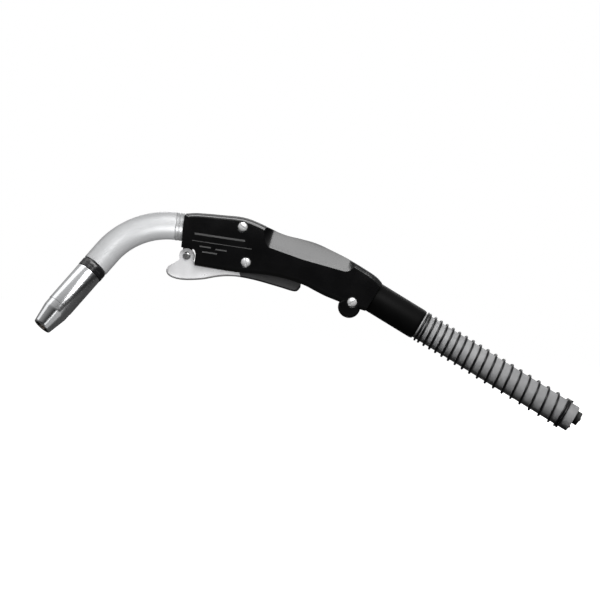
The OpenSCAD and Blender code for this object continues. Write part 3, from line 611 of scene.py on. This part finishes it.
handle = {
    "length": 157.0, "halfWidth": 16.0, "rearHalf": 14.5, "taper": (0.62, 0.95), "edge": 4.0, "wall": 2.5,
    "lugRadius": 8.8, "lugEdge": 3, "post": 8.0, "seat": 2.0, "seatDiameter": 8.2, "smooth": 13,
}
length = handle["length"]
backTop = smoothKnots([
    (1.5, 10.9), (0.07 * length, 12.3), (0.2 * length, 12.9), (0.3 * length, 12.9), (0.385 * length, 9.7),
    (0.47 * length, 4.8), (0.53 * length, 2.3), (0.6 * length, 0.9), tailPoint(-61, 12.6), tailPoint(-47, 14.2),
    tailPoint(-33, 15.3), tailPoint(-18, 15.5), tailPoint(-7, 15), tailPoint(0, 13),
], 4)
belly = smoothKnots([
    tailPoint(0, -13), tailPoint(-8, -15), tailPoint(-31, -19.2), tailPoint(-42, -20.2), tailPoint(-54, -21.2),
    (0.52 * length, -31.6), (0.42 * length, -30.8), (0.3 * length, -31.4), (0.17 * length, -30.6), (12, -29.7),
], 4)
notch = [(12, -20.3), (10.8, -17.5), (8, -16.3), (0, -16.3), (0, 9.4)]
screwPlaces = [(46.9, 5.3), (52.5, -22.6), tailPoint(-12.6, -12.6)]
lugAt = tailPoint(-12.6, -17)
pivotAt = (5.0, -22.7)
# What the hollow half holds: cross walls as (x, thickness, lowest z), then holes and bosses
inside = {
    "front": 7, "rear": 8.5, "ribs": ((20, 3, -14.5), (36, 3, -14.5), (90, 3, -23)), "arms": (24, 41), "arm": 4,
    "armHeights": (-25.5, -17.5), "armReach": 5.53, "socket": 9.53, "socketClear": 9.9, "socketDepth": 24,
    "block": (23.46, 28.06), "blockAt": (13.97, 0, -3), "core": 13.0, "coreUp": 2.4, "leadAt": (41, 0, -5.4),
    "leadTilt": 13, "leadLength": 70, "spigot": 11.36, "spigotRib": 12.36, "slotHalf": 10.55, "slot": (9, 100.5),
    "slotTop": -26.5, "pinHole": 4.06, "screwHole": 4.12, "boss": 4.5, "bossReach": 8.65, "bossArm": (1.4, 8.6, -15.3),
}


def sideAt(x):
    first, last = handle["taper"]
    share = min(max((x - first * length) / ((last - first) * length), 0), 1)
    return handle["halfWidth"] + share * (handle["rearHalf"] - handle["halfWidth"])


def taperSides(bm, inset):
    for share in handle["taper"]:
        bmesh.ops.bisect_plane(
            bm, geom=everything(bm), plane_co=(share * length, 0, 0), plane_no=(1, 0, 0), dist=0.0001,
        )
    for vert in bm.verts:
        if vert.co.y < -1:
            vert.co.y = inset - sideAt(vert.co.x)


def halfSolid():
    # The long edges are rounded; the front face's and the rear face's stay sharp
    bm = pushedOut(backTop + belly + notch, 0, handle["halfWidth"])
    taperSides(bm, 0)
    longEdges = []
    for edge in bm.edges:
        a, b = (v.co for v in edge.verts)
        if max(a.y, b.y) > -1 or abs(abs(a.y) - sideAt(a.x)) > 0.01 or len(edge.link_faces) < 2:
            continue
        if edge.calc_face_angle(0) < math.radians(20):
            continue
        middle = (a + b) / 2
        onRear = math.dist((middle.x, middle.z), (rearX, rearZ)) < 12.9
        onFront = middle.x < 12.01 and middle.z < 10.85
        if not (onRear or onFront):
            longEdges.append(edge)
    bevelEdges(bm, longEdges, handle["edge"], 8, clamp=False)
    return bm


def insideOutline(points, distance):
    # A closed outline moved inward; points that would cross over in a tight corner are dropped
    corners = [Vector(q) for i, q in enumerate(points) if math.dist(q, points[i - 1]) > 0.01]
    turned = 1 if sum(a.x * b.y - b.x * a.y for a, b in zip(corners, corners[1:] + corners[:1])) > 0 else -1
    kept = []
    for i, here in enumerate(corners):
        before, after = corners[i - 1], corners[(i + 1) % len(corners)]
        sides = [Vector((way.y, -way.x)).normalized() * turned for way in (here - before, after - here)]
        out = (sides[0] + sides[1]).normalized()
        moved = here - out * distance / max(out.dot(sides[0]), 0.4)
        gap = math.inf
        for a, b in zip(corners, corners[1:] + corners[:1]):
            share = min(max((moved - a).dot(b - a) / (b - a).length_squared, 0), 1)
            gap = min(gap, (moved - a.lerp(b, share)).length)
        if gap > distance - 0.02:
            kept.append((moved.x, moved.y))
    return kept


def cavity():
    wall = handle["wall"]
    bm = pushedOut(insideOutline(backTop + belly + notch, wall), 0, handle["halfWidth"] - wall)
    taperSides(bm, wall)
    bmesh.ops.translate(bm, verts=[v for v in bm.verts if v.co.y > -1], vec=(0, 1, 0))
    tailOut = Vector((math.cos(tailTilt), 0, -math.sin(tailTilt)))
    rearCut = Vector((rearX, 0, rearZ)) - tailOut * inside["rear"]
    for point, normal in (((inside["front"], 0, 0), (-1, 0, 0)), (rearCut, tailOut)):
        bmesh.ops.bisect_plane(bm, geom=everything(bm), plane_co=point, plane_no=normal, dist=0.0001, clear_outer=True)
        bmesh.ops.holes_fill(bm, edges=[e for e in bm.edges if e.is_boundary])
    faceOut(bm)
    posts = [cylinderAt(handle["post"], 40, crossAt(x, z, 5)) for x, z in screwPlaces]
    ribs = [boxAt((x, -20, low), (x + thick, 5, 20)) for x, thick, low in inside["ribs"]]
    armLow, armTop = inside["armHeights"]
    arms = [boxAt((x, -20, armLow), (x + inside["arm"], -inside["armReach"], armTop)) for x in inside["arms"]]
    return carve(bm, *posts, *ribs, *arms, thumbHollow(thumb["wall"]))


# A long shallow trough in the upper flank: its axis runs from front to rear, and the ends are rounded by corner
thumb = {"radius": 60.0, "front": (63, -71.0, 17.4), "rear": (150, -70.2, -1.1), "corner": 14.0, "wall": 2.5}


def thumbHollow(grow=0.0):
    front, rear = Vector(thumb["front"]), Vector(thumb["rear"])
    way = (rear - front).normalized()
    radius, corner, reachOut = thumb["radius"] + grow, thumb["corner"], (rear - front).length + 2 * grow
    end = [(radius - corner + corner * math.sin(a), corner - corner * math.cos(a)) for a in angles(0, 91, 6)]
    profile = [(0, 0)] + end + [(r, reachOut - z) for r, z in reversed(end)] + [(0, reachOut)]
    place = Matrix.Translation(front - way * grow) @ way.to_track_quat("Z", "Y").to_matrix().to_4x4()
    return lathe(profile, place, 360)


def leftHalf():
    radius, edge, depth = handle["lugRadius"], handle["lugEdge"], sideAt(lugAt[0])
    corner = [(radius - edge + edge * math.cos(a), depth - edge + edge * math.sin(a)) for a in angles(0, 91, 9)]
    lug = lathe([(0, 0), (radius, 0)] + corner + [(0, depth)], crossAt(*lugAt), 64)
    boss, bossReach = inside["boss"], inside["bossReach"]
    bossProfile = [(0, 0), (boss, 0), (boss, bossReach - 0.35), (boss - 0.3, bossReach), (0, bossReach)]
    pivotBoss = lathe(bossProfile, crossAt(*pivotAt))
    armFrom, armTo, armTop = inside["bossArm"]
    pivotArm = boxAt((armFrom, -bossReach, pivotAt[1]), (armTo, 0, armTop))
    socket, clear, deep = inside["socket"], inside["socketClear"], inside["socketDepth"]
    neckSocket = lathe([(0, -5), (clear, -5), (clear, 0.05), (socket, 0.4), (socket, deep), (0, deep)], rearward)
    blockHole = cylinderAt(*inside["block"], Matrix.Translation(inside["blockAt"]) @ rearward, 64)
    coreHole = cylinderAt(inside["core"], 100, tailPlace @ Matrix.Translation((-inside["coreUp"], 0, -30)))
    leadTurn = Matrix.Rotation(math.pi / 2 + math.radians(inside["leadTilt"]), 4, "Y")
    coreLead = cylinderAt(inside["core"], inside["leadLength"], Matrix.Translation(inside["leadAt"]) @ leadTurn, 72)
    thin, thick = inside["spigot"], inside["spigotRib"]
    spigot = lathe([
        (0, -12), (9.8, -12), (9.8, -7.03), (thick, -7.03), (thick, -3.97), (thin, -3.97), (thin, -0.5), (11.8, 2),
        (0, 2),
    ], tailPlace, 64)
    slotFrom, slotTo = inside["slot"]
    slot = boxAt((slotFrom, -inside["slotHalf"], -62), (slotTo, 1, inside["slotTop"]))
    pinHole = cylinderAt(inside["pinHole"], 30, crossAt(*pivotAt, 5))
    screwHoles = [cylinderAt(inside["screwHole"], 40, crossAt(x, z, 5)) for x, z in screwPlaces]
    return carve(
        halfSolid(), (lug, "UNION"), cavity(), slot, (pivotArm, "UNION"), (pivotBoss, "UNION"), neckSocket, blockHole,
        coreLead, coreHole, spigot, pinHole, *screwHoles, thumbHollow(),
    )


def mirrored(bm):
    bm.transform(Matrix.Diagonal((1, -1, 1, 1)))
    bmesh.ops.reverse_faces(bm, faces=bm.faces[:])
    return bm


nut = {"across": 7, "thick": 3.2, "gap": 0.03, "thread": 2.06, "corner": 3.5}


def seatAt(x, z, hexagon):
    diameter = nut["across"] / math.cos(math.pi / 6) + 0.2 if hexagon else handle["seatDiameter"]
    half, side = diameter / 2, sideAt(x)
    floorAt = side - handle["seat"]
    wide, above = half + 0.45, side + 4
    profile = [(0, floorAt), (half, floorAt), (half, side - 0.35), (wide, side + 0.1), (wide, above), (0, above)]
    return lathe(profile, crossAt(x, z), 6 if hexagon else 48)


leftBm = leftHalf()
rightBm = mirrored(leftBm.copy())
leftBm = carve(leftBm, *[seatAt(x, z, False) for x, z in screwPlaces])
rightBm = carve(rightBm, *[mirrored(seatAt(x, z, True)) for x, z in screwPlaces])
for sideName, halfBm in (("left", leftBm), ("right", rightBm)):
    addPiece(
        halfBm, "handle_half_" + sideName, "handle", "handleMoulding", ["handle_" + sideName],
        handle["smooth"],
    )

# Plain printed lines on the left side: runs as (x from, z from, x to, z to, line height)
printed = [
    (8, -10, 56, -11.65, 0.5), (9.5, -4.4, 50, -5.8, 1.5), (14.5, -14, 23.5, -14.3, 1.1),
    (27.5, -15.2, 36.5, -15.5, 1.1), (17, -18.2, 29, -18.6, 1.1),
]
printDepths = (0.3, -0.1)  # from inside the wall to just proud of it
printBm = bmesh.new()
for fromX, fromZ, toX, toZ, thick in printed:
    corners = [
        (x, -sideAt(x) + depth, z + up)
        for x, z in ((fromX, fromZ), (toX, toZ)) for depth in printDepths for up in (-thick / 2, thick / 2)
    ]
    bmesh.ops.convex_hull(printBm, input=[printBm.verts.new(corner) for corner in corners])
addPiece(printBm, "handle_printed_lines", "handle", "printPale", [])
print("handle made")

# ---- Screws and nuts ----

screw = {
    "head": 3.8, "edge": 0.9, "dome": 1.5, "shank": 2.0, "endTo": 3.0, "slot": 1.1, "firstTurn": 35, "nextTurn": 50,
}


def gather(whole, bm):
    part = bpy.data.meshes.new("part")
    bm.to_mesh(part)
    bm.free()
    whole.from_mesh(part)


def makeScrews():
    # Slotted heads, each slot turned its own way
    whole = bmesh.new()
    head, shank, slotHalf = screw["head"], screw["shank"], screw["slot"] / 2
    for index, (x, z) in enumerate(screwPlaces):
        side = sideAt(x)
        base = side - handle["seat"] + 0.03
        slotFloor = base + screw["edge"] + screw["dome"] - screw["slot"]
        dome = [(head * math.cos(a), base + screw["edge"] + screw["dome"] * math.sin(a)) for a in angles(0, 91, 10)]
        low = -side + handle["seat"] - screw["endTo"]
        stem = [(0, low), (shank - 0.4, low), (shank, low + 0.4), (shank, base), (head - 0.2, base), (head, base + 0.2)]
        body = lathe(stem + dome, facing, 48)
        slotCut = boxAt((-6, -base - 6, -slotHalf), (6, -slotFloor, slotHalf))
        slotCut.transform(Matrix.Rotation(math.radians(screw["firstTurn"] + screw["nextTurn"] * index), 4, "Y"))
        body = carve(body, slotCut)
        body.transform(Matrix.Translation((x, 0, z)))
        gather(whole, body)
    return whole


def makeNuts():
    whole = bmesh.new()
    low, top = nut["gap"], nut["gap"] + nut["thick"]
    outer, thread, corner = nut["across"] / math.cos(math.pi / 6) / 2, nut["thread"], nut["corner"]
    for x, z in screwPlaces:
        hexBody = lathe([(0, low), (outer, low), (outer, top), (0, top)], steps=6)
        rounded = lathe(
            [(0, low), (corner, low), (outer + 0.05, 0.45), (outer + 0.05, 2.81), (corner, top), (0, top)], steps=48,
        )
        hole = lathe(
            [(0, -1), (2.4, -1), (2.4, 0.1), (thread, 0.45), (thread, 2.8), (2.4, 3.15), (2.4, 5), (0, 5)], steps=48,
        )
        body = carve(hexBody, (rounded, "INTERSECT"), hole)
        body.transform(Matrix.Translation((x, sideAt(x) - handle["seat"], z)) @ Matrix.Rotation(-math.pi / 2, 4, "X"))
        gather(whole, body)
    return whole


addPiece(makeScrews(), "handle_screw_set", "handle", "screwSteel", ["handle_screws"])
addPiece(makeNuts(), "handle_nut_set", "handle", "screwSteel", ["handle_nuts"])
print("screws and nuts made")

# ---- Trigger lever: one bent sheet with two ears ----

lever = {
    "half": 10.2, "sheet": 1.2, "fold": 1.8, "innerFold": 0.8, "length": 98, "ear": 6, "pinHole": 4.12,
    "shadeFrom": 49.0, "shadeLean": 0.35, "shadeHeight": -33, "smooth": 28,  # shadeFrom: where the black finish starts, painted shade for the dark reflection and shadow on the lever's rear
}
long = lever["length"]
leverUnder = smoothKnots([
    (-8.6, -32.4), (-10, -35.8), (-8.2, -39.4), (-3, -41.6), (5.6, -42), (19, -40), (30, -36.8), (40, -35), (50, -34.8),
    (0.65 * long, -36.2), (0.83 * long, -39.2), (0.96 * long, -41.2), (long, -37.4),
], 5)
leverUpper = [(long, -28.5), (58, -28.5), (57, -30.4), (48, -30.4), (47, -28.5), (13, -28.5), (10.4, -26)]
ear = lever["ear"]
earTop = [(pivotAt[0] + ear * math.cos(a), pivotAt[1] + ear * math.sin(a)) for a in angles(-30, 216, 15)]


def insetLine(points, distance):
    moved = []
    for i, (x, z) in enumerate(points):
        ahead, behind = points[min(i + 1, len(points) - 1)], points[max(i - 1, 0)]
        way = Vector((ahead[0] - behind[0], ahead[1] - behind[1])).normalized()
        moved.append((x - way.y * distance, z + way.x * distance))
    return moved


def foldEdges(bm, line, half):
    near = {(round(x, 3), round(z, 3)) for x, z in line}
    return [
        e for e in bm.edges
        if all(abs(abs(v.co.y) - half) < 0.001 and (round(v.co.x, 3), round(v.co.z, 3)) in near for v in e.verts)
        and abs(e.verts[0].co.y - e.verts[1].co.y) < 0.001
    ]


def makeLever():
    half, sheet = lever["half"], lever["sheet"]
    solid = pushedOut(leverUnder + leverUpper + earTop + [(-3.1, -28.6)], half, 2 * half)
    bevelEdges(solid, foldEdges(solid, leverUnder, half), lever["fold"], 5)
    endAt = long - sheet
    hollowLine = [point for point in insetLine(leverUnder, sheet) if point[0] < endAt] + [(endAt, -37.2)]
    above = [(endAt, -34.9), (104, -34.9), (104, -8), (-14, -8), (-14, -26), (hollowLine[0][0] - 0.2, -31.2)]
    hollow = pushedOut(hollowLine + above, half - sheet, 2 * (half - sheet))
    bevelEdges(hollow, foldEdges(hollow, hollowLine, half - sheet), lever["innerFold"], 4)
    pinHole = cylinderAt(lever["pinHole"], 40, crossAt(*pivotAt, 20))
    return carve(solid, hollow, pinHole)


leverBm = makeLever()
# Faces behind this plane get the black finish: painted shade for the dark reflection and shadow on the lever's rear
shadeFromPoint, shadeFromWay = Vector((lever["shadeFrom"], 0, lever["shadeHeight"])), Vector((1, 0, lever["shadeLean"]))
bmesh.ops.bisect_plane(leverBm, geom=everything(leverBm), plane_co=shadeFromPoint, plane_no=shadeFromWay, dist=0.0001)
for face in leverBm.faces:
    face.material_index = 1 if (face.calc_center_median() - shadeFromPoint).dot(shadeFromWay) > 0 else 0
leverObj = addPiece(
    leverBm, "trigger_lever_sheet", "trigger", "leverSteel", ["trigger_lever"], lever["smooth"],
)
# The second slot holds the painted shade on the lever's rear
leverObj.data.materials.append(materials["leverRearPaintedShade"])

pin = {"proud": 0.35, "dome": 1.2, "head": 3.2, "shank": 2.0}


def pinProfile(proud, dome, head, shank):
    # A shank through both ears, with a rounded rivet head on each
    reach, half = lever["half"] + proud, head / 2
    rivet = [(reach + dome * math.sin(a), half + half * math.cos(a)) for a in angles(0, 91, 15)]
    lower = [(0, -reach - dome)] + [(r, -h) for h, r in reversed(rivet)] + [(shank, -reach)]
    return lower + [(shank, reach)] + [(r, h) for h, r in rivet] + [(0, reach + dome)]


pinBm = lathe(pinProfile(**pin), crossAt(*pivotAt), 48)
addPiece(pinBm, "pivot_rivet", "handle", "pinSteel", ["trigger_pin"])
print("trigger made")

# ---- Strain relief and cable ----

sleeve = {"outer": 12.53, "bore": 10.93, "end": 43.0, "lug": 12.33, "neck": 11.33, "lugBore": 6.2}


def makeSleeve():
    outer, bore, end = sleeve["outer"], sleeve["bore"], sleeve["end"]
    tube = lathe([
        (bore, 0.2), (12.0, 0.05), (12.4, 0.25), (outer, 0.8), (outer, end - 3.5), (12.45, end - 2.0),
        (12.2, end - 0.8), (11.8, end - 0.2), (11.3, end), (bore, end - 0.2),
    ], tailPlace, 80)
    lug, waist, inner = sleeve["lug"], sleeve["neck"], sleeve["lugBore"]
    spigot = lathe([
        (inner, -7.0), (12.0, -7.0), (lug, -6.7), (lug, -4.2), (12.1, -4.0), (waist, -4.0), (waist, 0.6), (inner, 0.6),
    ], tailPlace, 80)
    return carve(tube, (spigot, "UNION"))


addPiece(makeSleeve(), "relief_sleeve", "handle", "sleeveRubber", ["strain_relief_sleeve"])

coil = {
    "mean": 23.8, "wire": 1.8, "from": 43.73, "open": 18, "first": 4.8, "length": 136.8, "close": 1.9, "sides": 12,
    "stepsATurn": 40,
}


def wireCoil(wire, sides, start, centre, turn, steps, rises):
    # A round wire wound about centre: each rise is one stretch, which turns by turn in so many steps
    bm = bmesh.new()
    made = bmesh.ops.create_circle(bm, cap_ends=True, radius=wire / 2, segments=sides)
    bmesh.ops.rotate(bm, verts=made["verts"], cent=(0, 0, 0), matrix=facing.to_3x3())
    bmesh.ops.translate(bm, verts=made["verts"], vec=start)
    geometry = everything(bm)
    for rise in rises:
        geometry = bmesh.ops.spin(
            bm, geom=geometry, cent=centre, axis=(0, 0, 1), dvec=(0, 0, rise / steps), angle=turn, steps=steps,
        )["geom_last"]
    cleanUp(bm, 0.001)
    return bm


def coilRise(turns):
    # One close turn, the open turns with a growing pitch, then two close turns
    close, first, count = coil["close"], coil["first"], coil["open"]
    openLength = coil["length"] - 4 * close
    last = 2 * openLength / count - first
    if turns < 1:
        return close * turns
    if turns < 1 + count:
        n = turns - 1
        return close + first * n + (last - first) * n * n / (2 * count)
    return close + openLength + close * (turns - 1 - count)


quarters = range(4 * (coil["open"] + 3))
coilBm = wireCoil(
    coil["wire"], coil["sides"], (-coil["mean"] / 2, 0, coil["from"] + coil["wire"] / 2), (0, 0, 0), math.pi / 2,
    coil["stepsATurn"] // 4, [coilRise((n + 1) / 4) - coilRise(n / 4) for n in quarters],
)
coilBm.transform(tailPlace)
addPiece(coilBm, "bend_spring", "handle", "springBlack", ["strain_relief_spring"], 60)

# The spring between the plunger's foot and the switch, which shortens as the lever is pulled; here it is wound once, at
# the length of the frame's spring part
plungerSpring = {"wire": 0.7, "halfTurns": 7, "sides": 10, "stepsATurn": 32}
springLow, springHigh = (Vector(corner) * 1000 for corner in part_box("plunger_spring"))
springWire, halfTurns = plungerSpring["wire"], plungerSpring["halfTurns"]
springMiddle = (springLow + springHigh) / 2
springRadius = (springHigh.x - springLow.x - springWire) / 2
springBm = wireCoil(
    springWire, plungerSpring["sides"], (springMiddle.x + springRadius, springMiddle.y, springLow.z + springWire / 2),
    (springMiddle.x, springMiddle.y, 0), math.pi, plungerSpring["stepsATurn"] // 2,
    [(springHigh.z - springLow.z - springWire) / halfTurns] * halfTurns,
)
bmesh.ops.scale(springBm, vec=(0.001, 0.001, 0.001), verts=springBm.verts[:])
springObj = asObject(springBm, "plunger_return_spring", 60)
springObj.data.materials.append(materials["springSteel"])
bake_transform(springObj)
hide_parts("plunger_spring")

cable = {"outer": 10.9, "bore": 8.9, "from": 0.1, "end": 187.0}


def makeJacket():
    outer, bore, start, end = cable["outer"], cable["bore"], cable["from"], cable["end"]
    return lathe([
        (bore, start), (outer, start), (outer, end - 0.8), (outer - 0.15, end - 0.3), (outer - 0.5, end),
        (bore + 0.3, end), (bore, end - 0.3),
    ], tailPlace, 96)


addPiece(makeJacket(), "cable_outer_jacket", "handle", "jacketRubber", ["cable_jacket"])
print("strain relief, springs and cable made")

# ---- Floor and light ----

floorLook = {"size": 6, "gap": 0.0005, "colour": 0.8, "rough": 0.9, "glow": 0.7, "card": 0.05}
floorBm = bmesh.new()
bmesh.ops.create_grid(floorBm, x_segments=2, y_segments=2, size=floorLook["size"])
floorBm.transform(Matrix.Translation((0, 0, cadBox[0][2] - floorLook["gap"])))
floor = asObject(floorBm, "floor", 0)
floorMaterial = bpy.data.materials.new("paleFloor")
floorMaterial.use_nodes = True
floorTree = floorMaterial.node_tree
floorShader = floorTree.nodes["Principled BSDF"]
floorShader.inputs["Base Color"].default_value = (*[floorLook["colour"]] * 3, 1)
floorShader.inputs["Roughness"].default_value = floorLook["rough"]
# The camera sees it pale; the object gets little light back from it, so the black sides stay black
glow = addNode(floorTree, "ShaderNodeEmission", Color=(1, 1, 1, 1), Strength=floorLook["glow"])
pale = addNode(floorTree, "ShaderNodeAddShader", i0=floorShader.outputs[0], i1=glow.outputs[0])
card = addNode(floorTree, "ShaderNodeBsdfDiffuse", Color=(*[floorLook["card"]] * 3, 1))
floorRay = addNode(floorTree, "ShaderNodeLightPath").outputs["Is Camera Ray"]
floorPick = addNode(floorTree, "ShaderNodeMixShader", i0=floorRay, i1=card.outputs[0], i2=pale.outputs[0])
floorTree.links.new(floorPick.outputs[0], floorTree.nodes["Material Output"].inputs["Surface"])
floor.data.materials.append(floorMaterial)

# Bright above and behind, dark in front; the camera sees plain white
skyLook = {"above": (0.1, 0.9, 0.015, 0.5), "behind": (0.3, 0.95, 0.0, 0.25)}  # from, to, and the glow at each
world = bpy.data.worlds.new("studio")
bpy.context.scene.world = world
world.use_nodes = True
worldTree = world.node_tree
sky = worldTree.nodes["Background"]
direction = addNode(worldTree, "ShaderNodeTexCoord").outputs["Generated"]
split = addNode(worldTree, "ShaderNodeSeparateXYZ", i0=direction)
aboveMask = rangeNode(worldTree, split.outputs[2], *skyLook["above"])
behindMask = rangeNode(worldTree, split.outputs[1], *skyLook["behind"])
sky.inputs["Color"].default_value = (1, 1, 1, 1)
worldTree.links.new(mathNode(worldTree, "ADD", aboveMask, behindMask), sky.inputs["Strength"])
seen = addNode(worldTree, "ShaderNodeBackground", Color=(1, 1, 1, 1), Strength=1.0)
worldRay = addNode(worldTree, "ShaderNodeLightPath").outputs["Is Camera Ray"]
worldPick = addNode(worldTree, "ShaderNodeMixShader", i0=worldRay, i1=sky.outputs[0], i2=seen.outputs[0])
worldTree.links.new(worldPick.outputs[0], worldTree.nodes["World Output"].inputs["Surface"])

# "only" and "skips" name the pieces that a light reaches or passes by
neckPieces = ["gooseneck_jacket", "gooseneck_collar"]
cablePieces = ["relief_sleeve", "cable_outer_jacket", "bend_spring"]
lights = {
    "keySoft": {
        "from": (0.0, -0.9, 1.3), "aim": (0, 0, -0.02), "size": (1.2, 0.5), "watts": 20,
        "skips": neckPieces + cablePieces + ["nozzle_shell"],
    },
    "overhead": {
        "from": (-0.1, 0.2, 1.5), "aim": (0, 0, -0.02), "size": (1.4, 0.5), "watts": 8,
        "skips": neckPieces + cablePieces,
    },
    "thumbPanel": {"from": (0.065, -0.42, 0.255), "aim": (0.02, 0, -0.01), "size": (0.2, 0.22), "watts": 1.1},
    "bevelStrip": {"from": (-0.066, -0.36, 0.36), "aim": (-0.066, 0, 0.02), "size": (0.03, 0.14), "watts": 0.1},
    "leftPanel": {"from": (-1.0, 0.1, 0.9), "aim": (-0.17, 0, -0.04), "size": (0.8, 1.2), "watts": 2.6},
    "nozzleStreak": {
        "from": (-0.06, -0.57, -0.12), "aim": (-0.18, 0, -0.05), "size": (0.1, 0.2), "watts": 0.09,
        "only": ["nozzle_shell"],
    },
    "nozzleRight": {
        "from": (0.13, -0.41, -0.3), "aim": (-0.18, 0, -0.05), "size": (0.36, 0.4), "watts": 0.16,
        "only": ["nozzle_shell"],
    },
    "neckFill": {
        "from": (-0.1, -1.1, -0.5), "aim": (-0.12, 0, 0), "size": (0.7, 0.7), "watts": 14, "only": neckPieces,
    },
    "neckTop": {
        "from": (-0.1, -0.7, 1.2), "aim": (-0.12, 0, 0), "size": (0.7, 0.7), "watts": 5.5, "only": neckPieces,
    },
    "leverFill": {
        "from": (-0.1, -1.1, -0.4), "aim": (-0.06, 0, -0.02), "size": (0.7, 0.7), "watts": 2.2,
        "only": ["trigger_lever_sheet"],
    },
    "cableFront": {
        "from": (0.22, -0.9, 0.62), "aim": (0.17, 0, -0.04), "size": (0.4, 0.2), "watts": 9.0,
        "only": ["cable_outer_jacket", "bend_spring"],
    },
    "behindRim": {"from": (0.2, 1.3, 0.7), "aim": (0, 0, -0.02), "size": (1.2, 0.6), "watts": 6},
}
for lightName, light in lights.items():
    data = bpy.data.lights.new(lightName, "AREA")
    data.shape = "RECTANGLE"
    data.size, data.size_y = light["size"]
    data.energy = light["watts"]
    lamp = bpy.data.objects.new(lightName, data)
    bpy.context.scene.collection.objects.link(lamp)
    lamp.location = light["from"]
    lamp.rotation_euler = (Vector(light["aim"]) - Vector(light["from"])).to_track_quat("-Z", "Y").to_euler()
    if "only" in light or "skips" in light:
        linked = bpy.data.collections.new(lightName + "Linked")
        for pieceName in light.get("only", []) + light.get("skips", []):
            linked.objects.link(bpy.data.objects[pieceName])
        for entry in linked.collection_objects:
            entry.light_linking.link_state = "INCLUDE" if "only" in light else "EXCLUDE"
        lamp.light_linking.receiver_collection = linked
    if "only" in light:  # some stand below the floor, so it casts them no shadow
        seeThrough = bpy.data.collections.new(lightName + "SeeThrough")
        seeThrough.objects.link(floor)
        seeThrough.collection_objects[0].light_linking.link_state = "EXCLUDE"
        lamp.light_linking.blocker_collection = seeThrough
print("floor and lights set")
